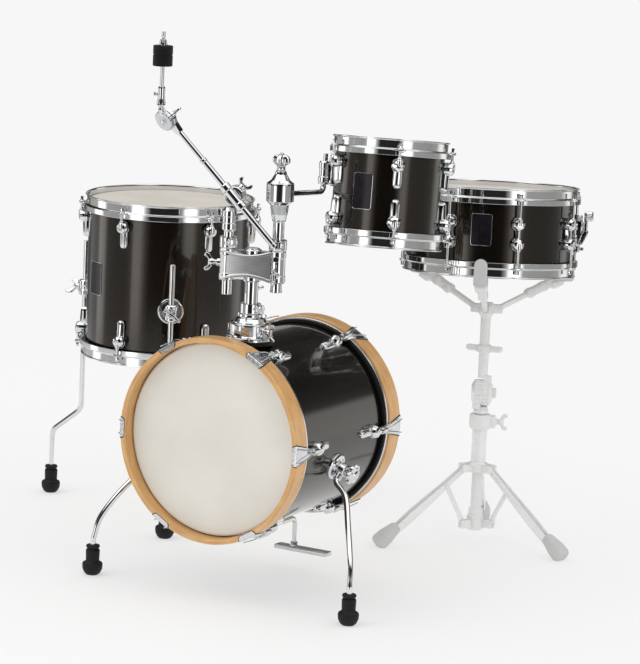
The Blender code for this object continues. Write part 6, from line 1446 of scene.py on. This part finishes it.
STAND_PLACE = Vector((0.1545, 0.59, 0))
STAND_LEG_ANGLES = -126.5, -6.5, 113.5
STAND_FOOT_RADIUS, STAND_FOOT_SIZE = 0.207, Vector((0.034, 0.018, 0.016))
STAND_PIVOT_RADIUS, STAND_CROWN_HEIGHT, STAND_CROWN_THICKNESS = 0.03, 0.155, 0.016
STAND_HUB_HEIGHT, STAND_HUB_THICKNESS = 0.041, 0.029
STAND_STRUT_SHARE, STAND_STRUT_WIDTH, STAND_STRUT_HALF_DEPTH = 0.233, 0.005, 0.0045
STAND_LEG_WIDTH, STAND_LEG_HALF_DEPTH = 0.012, 0.0045
STAND_INNER_RADIUS, STAND_MAIN_RADIUS, STAND_MAIN_TOP = 0.0108, 0.0149, 0.235
STAND_CLAMP_RADIUS, STAND_CLAMP_TOP, STAND_ROD_TOP, STAND_UPPER_BOTTOM = 0.0222, 0.264, 0.185, 0.19
STAND_TILT_HEIGHT, STAND_TILT_RADIUS, STAND_TILT_THICKNESS = 0.308, 0.0265, 0.021
STAND_NUT_BAR, STAND_NUT_START = 0.08, 0.08
BASKET_AZIMUTHS = 22.5, 142.5, 262.5
BASKET_PIVOT_RADIUS, BASKET_PIVOT_BELOW = 0.024, 0.074
BASKET_ARM_WIDTH, BASKET_ARM_HALF_DEPTH = 0.011, 0.005
PAD_HALF_WIDTH, PAD_START, PAD_END, PAD_RISE, PAD_THICKNESS = 0.013, 0.156, 0.186, 0.038, 0.015
# Leg rail: share of its length and half depth; leg's foot: along, half width and half depth; pad: rise and half width
RAIL_STATIONS = (0.02, 0.0044), (0.22, 0.005), (0.42, 0.0074), (0.62, 0.0088), (0.8, 0.0078), (0.97, 0.0056)
LEG_FOOT_STATIONS = ((-0.037, 0.009, 0.008), (-0.0335, 0.0112, 0.0104), (-0.006, 0.0165, 0.015),
    (0.01, 0.017, 0.0152), (0.0165, 0.015, 0.013), (0.019, 0.011, 0.009))
PAD_STATIONS = ((-0.002, 0.013), (0.01, 0.013), (0.022, 0.013), (0.028, 0.0124), (0.032, 0.011), (0.0352, 0.0084),
    (0.0372, 0.005), (0.038, 0.002))
STAND_LEG_TOP = STAND_PIVOT_RADIUS, STAND_CROWN_HEIGHT
STAND_LEG_END = STAND_FOOT_RADIUS, STAND_FOOT_SIZE.z / 2
STAND_STRUT_END = tuple((a + (b - a) * STAND_STRUT_SHARE for a, b in zip(STAND_LEG_TOP, STAND_LEG_END)))
STAND_STRUT_ASIDE = STAND_LEG_WIDTH / 2 + GAP + STAND_STRUT_WIDTH / 2
TILT_AXIS = Vector((SNARE_AXIS.y, -SNARE_AXIS.x, 0)).normalized()
TILT_CENTRE = STAND_PLACE + up(STAND_TILT_HEIGHT)
BASKET_PLACE = frame(TILT_CENTRE, SNARE_AXIS)
BASKET_RISE = (SNARE_BOTTOM - TILT_CENTRE).dot(SNARE_AXIS)


def stand_frame(angle):
    return put(STAND_PLACE) @ spin(angle)


def along_arm(start, end, share):
    return tuple((a + (b - a) * share for a, b in zip(start, end)))


def fork(radius, width, low, high, gap):
    """Pair of cheeks that a leg or strut turns between, with their pin; X outward."""
    cheeks = [block((0.022, width, high - low), (radius - 0.003, side * (gap / 2 + width / 2), (high + low) / 2),
        0.0014) for side in (1, -1)]
    pin = moved(rod_shape(0.0026, -gap / 2 - width - 0.001, gap / 2 + width + 0.001, 20, 0.0006),
        shift(radius, 0, (high + low) / 2) @ STANDING)
    return joined(pin, *cheeks)


def leg_outline():
    """Leg rail seen from its side: deepest past the middle, round at the crown."""
    start, end = Vector(STAND_LEG_TOP), Vector(STAND_LEG_END)
    across = (end - start).normalized()
    across = Vector((-across.y, across.x))
    upper = [tuple(start.lerp(end, share) + across * half) for share, half in RAIL_STATIONS]
    lower = [tuple(start.lerp(end, share) - across * half) for share, half in RAIL_STATIONS]
    return fillet(lower + upper[::-1], 0.004, 4, ring=True)


def add_tripod():
    collar_r, main_top, collar_top, end, start = (STAND_CLAMP_RADIUS, STAND_MAIN_TOP, STAND_CLAMP_TOP, STAND_LEG_END,
        STAND_LEG_TOP)
    low = STAND_CROWN_HEIGHT - STAND_CROWN_THICKNESS / 2
    high = STAND_CROWN_HEIGHT + STAND_CROWN_THICKNESS / 2
    bore = STAND_INNER_RADIUS + GAP
    crown = ring_shape([(bore, main_top + 0.001), (STAND_MAIN_RADIUS, main_top + 0.001),
        (STAND_MAIN_RADIUS, high + 0.003), (0.02, high), (0.02, low), (bore, low)], 0.001, 3, 64)
    collar = ring_shape([(bore, collar_top), (collar_r - 0.0015, collar_top), (collar_r, collar_top - 0.004),
        (collar_r, main_top + 0.006), (collar_r - 0.002, main_top), (bore, main_top)], 0.0012, 3, 64)
    tall = (main_top + collar_top) / 2
    ear = block((0.018, 0.024, 0.023), (collar_r - 0.001, 0, tall), 0.0022, 3)
    screw = moved(joined(wing_screw(0.015, 0.034), rod_shape(0.0078, -0.004, 0.006, 32, 0.0012)),
        shift(collar_r + 0.005, 0, tall) @ spin(90, "Y"))
    wing = moved(joined(ear, screw), spin(28))
    forks = [moved(fork(STAND_PIVOT_RADIUS, 0.006, low, high, STAND_LEG_WIDTH + 0.001), spin(angle))
        for angle in STAND_LEG_ANGLES]
    base = put(STAND_PLACE)
    add("stand_tube_steel", moved(joined(crown, *forks), base), "pale_steel", "stand", "stand_tube")
    add("stand_tube_collar", moved(joined(collar, wing), base), "pale_cast", "stand", "stand_tube")

    low = STAND_HUB_HEIGHT - STAND_HUB_THICKNESS / 2
    high = STAND_HUB_HEIGHT + STAND_HUB_THICKNESS / 2
    hub = solid_turned([(STAND_INNER_RADIUS, STAND_ROD_TOP), (STAND_INNER_RADIUS, high + 0.016),
        (0.0145, high + 0.014), (0.0145, high + 0.001), (0.017, high - 0.002), (0.017, low + 0.004), (0.014, low)],
        0.0012, 56)
    forks = []
    for angle in STAND_LEG_ANGLES:
        place = spin(angle) @ shift(y=STAND_STRUT_ASIDE)
        forks.append(moved(fork(STAND_PIVOT_RADIUS, 0.0045, low + 0.006, high - 0.006, STAND_STRUT_WIDTH + 0.0008),
            place))
    add("stand_hub_cast", moved(joined(hub, *forks), base), "pale_cast", "stand_hub", "stand_hub")

    for number, angle in enumerate(STAND_LEG_ANGLES, 1):
        place = stand_frame(angle)
        half = STAND_LEG_WIDTH / 2
        rails = []
        for side in (1, -1):
            rail = plate(leg_outline(), side * half - 0.0012, side * half + 0.0012, 0.0007)
            rails.append(moved(rail, shift(y=-side * 0.0013) @ STANDING))
        web = plate(bar_outline(start, end, 0.45 * STAND_LEG_HALF_DEPTH), -half + 0.002, half - 0.002, 0.0004)
        rails.append(moved(web, STANDING))
        pin = moved(rod_shape(0.003, -half - 0.0085, half + 0.001, 20, 0.0006),
            shift(STAND_STRUT_END[0], 0, STAND_STRUT_END[1]) @ STANDING)
        node = f"stand_leg_{number}"
        add(node + "_rails", moved(joined(pin, *rails), place), "pale_steel", node, node)
        direction = Vector((end[0] - start[0], 0, end[1] - start[1])).normalized()
        sections = []
        for along, wide, deep in LEG_FOOT_STATIONS:
            ring = []
            for k in range(20):
                turn = 2 * math.pi * k / 20
                cosine, sine = math.cos(turn), math.sin(turn)
                ring.append(Vector((0, wide * math.copysign(abs(cosine) ** 0.6, cosine),
                    deep * math.copysign(abs(sine) ** 0.6, sine))) + Vector((along, 0, 0)))
            sections.append(ring)
        lean = math.atan2(-direction.z, direction.x)
        foot = moved(lofted(sections), shift(end[0] - 0.006, 0, end[1] + 0.01) @ Matrix.Rotation(lean, 4, "Y"))
        bmesh.ops.bisect_plane(foot, geom=foot.verts[:] + foot.edges[:] + foot.faces[:], plane_co=(0, 0, 0.0002),
            plane_no=(0, 0, -1), clear_outer=True)
        bmesh.ops.contextual_create(foot, geom=[e for e in foot.edges if e.is_boundary])
        add(node + "_foot", moved(closed(foot), place), "pale_rubber", node, node)
        outline = bar_outline((STAND_PIVOT_RADIUS, STAND_HUB_HEIGHT), STAND_STRUT_END, STAND_STRUT_HALF_DEPTH)
        half = STAND_STRUT_WIDTH / 2
        strut = moved(plate(outline, -half, half, 0.001), shift(y=STAND_STRUT_ASIDE) @ STANDING)
        node = f"stand_strut_{number}"
        add(node + "_bar", moved(strut, place), "pale_steel", node, node)


def tilt_cheek(side):
    """One half of the ribbed tilter block, from the joint face outward along the tilt axis."""
    r, face = STAND_TILT_RADIUS, STAND_TILT_THICKNESS
    profile = [(0, side * face), (r - 0.011, side * face), (r - 0.006, side * (face - 0.0025)),
        (r, side * (face - 0.007)), (r, side * 0.002), (r - 0.001, side * 0.0002), (0, side * 0.0002)]
    low, high = sorted((side * 0.0024, side * (face - 0.0074)))
    return fluted(profile, 96, 16, 0.0018, low, high, 0.0012)


def add_stand_top():
    nut_low, pad_in, deep, pad_out = STAND_NUT_START, PAD_START, PAD_THICKNESS, PAD_END
    low = STAND_CLAMP_TOP + 8 * GAP
    socket_top = STAND_TILT_HEIGHT - STAND_TILT_RADIUS - 5 * GAP
    stem = solid_turned([(0.0125, socket_top), (0.015, low + 0.006), (0.015, low), (STAND_INNER_RADIUS, low),
        (STAND_INNER_RADIUS, STAND_UPPER_BOTTOM)], 0.0012, 56)
    across = frame(TILT_CENTRE, TILT_AXIS, (0, 0, 1))
    disc = tilt_cheek(-1)
    tall = STAND_TILT_RADIUS + 0.006
    neck = moved(block((0.026, 0.017, tall), (0, 0, -tall / 2), 0.003, 3), frame(TILT_CENTRE - TILT_AXIS * 0.0095,
        (0, 0, 1), TILT_AXIS.cross(up(1))))
    add("stand_upper_tube_steel", joined(moved(stem, put(STAND_PLACE)), moved(disc, across), neck), "pale_steel",
        "stand_upper", "stand_upper_tube")

    face = STAND_TILT_THICKNESS
    knob = fluted(raised([(0.0085, 0.008), (0.0105, 0.006), (0.0105, 0.001), (0.008, -0.001)], face), 72, 9, 0.0012,
        face + 0.0012, face + 0.0058)
    tilter = moved(joined(tilt_cheek(1), knob), across)
    pivot = BASKET_RISE - BASKET_PIVOT_BELOW
    start = STAND_TILT_RADIUS + 0.0035
    neck = moved(block((0.026, 0.017, start + 0.004), (0, 0, (start + 0.004) / 2), 0.003, 3),
        frame(TILT_CENTRE + TILT_AXIS * 0.0095, SNARE_AXIS, TILT_AXIS.cross(up(1))))
    stem = solid_turned([(0, pivot + 0.014), (0.0125, pivot + 0.013), (0.0155, pivot + 0.009),
        (0.0155, pivot - 0.009), (0.0125, pivot - 0.013), (0.01, pivot - 0.018), (0.01, nut_low + 0.0165),
        (0.0098, start), (0, start)], 0.001, 48)
    nut = fluted(raised([(0.0125, 0.0165), (0.0155, 0.0135), (0.0155, 0.003), (0.0125, 0)], nut_low), 96, 12, 0.0014,
        nut_low + 0.0032, nut_low + 0.0133, 0.0008)
    half = STAND_NUT_BAR / 2
    bars = wing_pair([(0.008, -0.0055), (half - 0.004, -0.005), (half, -0.002), (half, 0.004), (half - 0.004, 0.007),
        (0.008, 0.006)], 0.0045, 0.0018)
    bars = moved(bars, shift(z=nut_low + 0.0082) @ STANDING)
    forks = []
    for azimuth in BASKET_AZIMUTHS:
        forks.append(moved(fork(BASKET_PIVOT_RADIUS, 0.0045, pivot - 0.0085, pivot + 0.0085,
            BASKET_ARM_WIDTH + 0.0008), spin(azimuth - 90)))
    add("stand_basket_cast", joined(tilter, neck, moved(joined(stem, nut, bars, *forks), BASKET_PLACE)), "pale_cast",
        "basket", "stand_basket_hub")

    start = BASKET_PIVOT_RADIUS, BASKET_RISE - BASKET_PIVOT_BELOW
    seat = BASKET_RISE - GAP
    end = pad_in + 0.006, seat - 0.008
    lip = SNARE_RADIUS + HOOP_FLARE + 2 * GAP
    for number, azimuth in enumerate(BASKET_AZIMUTHS, 1):
        place = BASKET_PLACE @ spin(azimuth - 90)
        half = BASKET_ARM_WIDTH / 2
        arm = moved(plate(bar_outline(start, end, BASKET_ARM_HALF_DEPTH), -half, half, 0.0018, 3), STANDING)
        sleeve = moved(plate(bar_outline(along_arm(start, end, 0.5), along_arm(start, end, 0.9), 0.0085), -0.0085,
            0.0085, 0.003, 3), STANDING)
        rings = [moved(plate(bar_outline(along_arm(start, end, share), along_arm(start, end, share + 0.02), 0.0094),
            -0.0094, 0.0094, 0.0026, 2), STANDING) for share in (0.5, 0.7)]
        knuckle = moved(block((0.026, 0.025, 0.016), (0, 0, 0), 0.0036, 3),
            shift(pad_in - 0.005, 0, seat - deep - 0.0045) @ spin(-24, "Y"))
        hook = fillet([(pad_in - 0.012, seat - deep - 0.004), (pad_in, seat - deep - 0.001),
            (pad_out - 0.004, seat - deep), (pad_out, seat - deep + 0.005), (pad_out + 0.0004, seat + 0.004),
            (lip + 0.001, seat + 0.004), (lip - 0.002, seat), (pad_in + 0.002, seat), (pad_in - 0.012, seat - 0.008)],
            0.0022, 3, ring=True)
        sections = []
        for rise, half_width in PAD_STATIONS:
            inner, outer = lip + 0.001 + 0.0016 * rise / PAD_RISE, pad_out + 0.0024 * rise / PAD_RISE
            cut = min(0.0022, 0.4 * half_width, 0.4 * (outer - inner))
            ring = [(inner, cut - half_width), (inner + cut, -half_width), (outer - cut, -half_width),
                (outer, cut - half_width), (outer, half_width - cut), (outer - cut, half_width),
                (inner + cut, half_width), (inner, half_width - cut)]
            sections.append([(x, y, seat + rise) for x, y in ring])
        pad = joined(moved(plate(hook, -PAD_HALF_WIDTH, PAD_HALF_WIDTH, 0.0024, 3), STANDING), lofted(sections))
        node = f"stand_arm_{number}"
        add(node + "_bar", moved(arm, place), "pale_steel", f"basket_arm_{number}", node)
        add(node + "_sleeve", moved(joined(sleeve, knuckle, *rings), place), "pale_cast", f"basket_arm_{number}",
            node)
        add(node + "_pad", moved(pad, place), "pale_rubber", f"basket_arm_{number}", node)


# Floor, light and camera


def add_stage():
    """White studio floor that fades out into the equally white surroundings."""
    tone = FLOOR_TONE
    bm = bmesh.new()
    bmesh.ops.create_circle(bm, cap_ends=True, segments=96, radius=FLOOR_END)
    mesh = bpy.data.meshes.new("floor")
    bm.to_mesh(mesh)
    bm.free()
    look = Look("floor", (tone, tone, tone), roughness=0.9, specular=0.1)
    shades = [(tone + d, tone + d, tone + d) for d in (-0.004, 0.004)]
    look.color(look.ramp(look.noise(0.6, 2.0), (0.3, shades[0]), (0.7, shades[1])))
    look.shader.inputs["Emission Color"].default_value = 1.0, 1.0, 1.0, 1.0
    look.shader.inputs["Emission Strength"].default_value = FLOOR_GLOW
    distance = look.tree.nodes.new("ShaderNodeVectorMath")
    distance.operation = "LENGTH"
    look.link(look.position.outputs["Object"], distance.inputs[0])
    fade = range_node(look.tree, distance.outputs["Value"], from_min=FLOOR_FADE, from_max=0.98 * FLOOR_END,
        to_min=1.0, to_max=0)
    fade.interpolation_type = "SMOOTHSTEP"
    look.link(fade.outputs["Result"], look.shader.inputs["Alpha"])
    mesh.materials.append(look.material)
    floor = placed("floor", mesh)


FLOOR_TONE, FLOOR_GLOW, FLOOR_FADE, FLOOR_END = 0.45, 0.48, 1.4, 3.0
SURROUNDINGS = 0.93
CAMERA_AZIMUTH = 30.4
# What polished parts reflect: grey by direction, in degrees to the right of the way to the camera
STUDIO_RING = ((-180, 0.4), (-160, 0.1), (-150, 0.1), (-138, 0.42), (-118, 0.46), (-112, 1.9), (-102, 1.9),
    (-95, 0.42), (-60, 0.36), (-52, 0.5), (-48, 2.6), (-39, 2.6), (-31, 0.55), (-24, 0.02), (14, 0.02), (20, 0.4),
    (27, 2.1), (36, 2.1), (44, 0.4), (84, 0.34), (104, 0.42), (114, 1.1), (126, 1.1), (136, 0.12), (152, 0.1),
    (166, 0.45))
# How bright that ring is by the height of the direction, from straight down to straight up
STUDIO_RISE = ((-1.0, 0.85), (-0.48, 0.85), (-0.4, 0.12), (-0.29, 0.12), (-0.23, 1.0), (0.15, 1.0), (0.21, 0.14),
    (0.46, 0.04), (0.57, 0.3), (0.64, 1.0), (1.0, 1.0))
OVERHEAD, OVERHEAD_FROM, OVERHEAD_FULL = 1.45, 0.58, 0.8
WARMTH = 0.985, 0.96
LAMPS = ("key", (-2.2, -3.2, 4.2), 3.0, 34.0), ("fill", (3.8, -1.0, 3.4), 3.0, 14.0)
LAMPS_AIM = up(0.4)
CAMERA_PLACE, CAMERA_TURNS = (3.303, -5.4052, 1.542), (30.355, 9.964, 2.607)
FOCAL_LENGTH, PHOTO_WIDTH, SENSOR_WIDTH = 3252.0, 640.0, 36.0


def math_node(tree, operation, *values):
    node = tree.nodes.new("ShaderNodeMath")
    node.operation = operation
    for socket, value in zip(node.inputs, values):
        if isinstance(value, float):
            socket.default_value = value
        else:
            tree.links.new(value, socket)
    return node.outputs[0]


def add_light():
    """Even white surroundings, a ring of light and dark panels for polished parts, and two soft lamps."""
    world = bpy.data.worlds.new("studio")
    bpy.context.scene.world = world
    world.use_nodes = True
    tree = world.node_tree
    tree.nodes.clear()
    new, link = tree.nodes.new, tree.links.new
    parts = new("ShaderNodeSeparateXYZ")
    link(new("ShaderNodeTexCoord").outputs["Generated"], parts.inputs[0])
    flip = math_node(tree, "MULTIPLY", parts.outputs["Y"], -1.0)
    turn = math_node(tree, "ARCTAN2", parts.outputs["X"], flip)
    share = range_node(tree, turn, from_min=-math.pi, from_max=math.pi).outputs["Result"]
    stops = sorted((((CAMERA_AZIMUTH + degrees + 180) % 360 / 360, value) for degrees, value in STUDIO_RING))
    ring = ramp_node(tree, share, [(place, (value, value * WARMTH[0], value * WARMTH[1])) for place, value in stops])
    rise_at = range_node(tree, parts.outputs["Z"], from_min=-1.0).outputs["Result"]
    rise = ramp_node(tree, rise_at, [((place + 1) / 2, value) for place, value in STUDIO_RISE])
    above = range_node(tree, parts.outputs["Z"], from_min=OVERHEAD_FROM, from_max=OVERHEAD_FULL).outputs["Result"]
    colour = mix_node(tree, "MIX", above, mix_node(tree, "MULTIPLY", 1.0, ring, rise), OVERHEAD)
    studio = new("ShaderNodeBackground")
    link(colour, studio.inputs["Color"])
    plain = new("ShaderNodeBackground")
    plain.inputs["Color"].default_value = SURROUNDINGS, SURROUNDINGS, SURROUNDINGS, 1.0
    choice = new("ShaderNodeMixShader")
    link(new("ShaderNodeLightPath").outputs["Is Glossy Ray"], choice.inputs["Fac"])
    link(plain.outputs[0], choice.inputs[1])
    link(studio.outputs[0], choice.inputs[2])
    link(choice.outputs[0], new("ShaderNodeOutputWorld").inputs["Surface"])
    for name, place, size, power in LAMPS:
        data = bpy.data.lights.new(name, "AREA")
        data.shape, data.size, data.energy = "DISK", size, power
        lamp = placed(name, data)
        lamp.location = place
        lamp.rotation_euler = (LAMPS_AIM - Vector(place)).to_track_quat("-Z", "Y").to_euler()


def add_camera():
    """The camera that the photograph's ellipses and feet fit: place, three turns and lens."""
    yaw, pitch, roll = [math.radians(turn) for turn in CAMERA_TURNS]
    back = Vector((math.sin(yaw) * math.cos(pitch), -math.cos(yaw) * math.cos(pitch), math.sin(pitch)))
    level = Vector((math.cos(yaw), math.sin(yaw), 0))
    rise = back.cross(level)
    right = math.cos(roll) * level + math.sin(roll) * rise
    above = -math.sin(roll) * level + math.cos(roll) * rise
    data = bpy.data.cameras.new("camera")
    data.sensor_fit = "HORIZONTAL"
    data.sensor_width = SENSOR_WIDTH
    data.lens = FOCAL_LENGTH * SENSOR_WIDTH / PHOTO_WIDTH
    data.clip_end = 200.0
    camera = placed("camera", data)
    camera.matrix_world = put(CAMERA_PLACE) @ Matrix((right, above, back)).transposed().to_4x4()
    scene = bpy.context.scene
    scene.camera = camera
    scene.view_settings.view_transform = "Standard"
    scene.view_settings.look = "None"


add_camera()
add_light()
add_stage()
add_bass_drum()
add_spurs()
add_riser()
add_post()
add_clamp()
add_cymbal_arm()
add_tom_arm()
add_toms()
add_floor_tom_legs()
add_snare()
add_tripod()
add_stand_top()
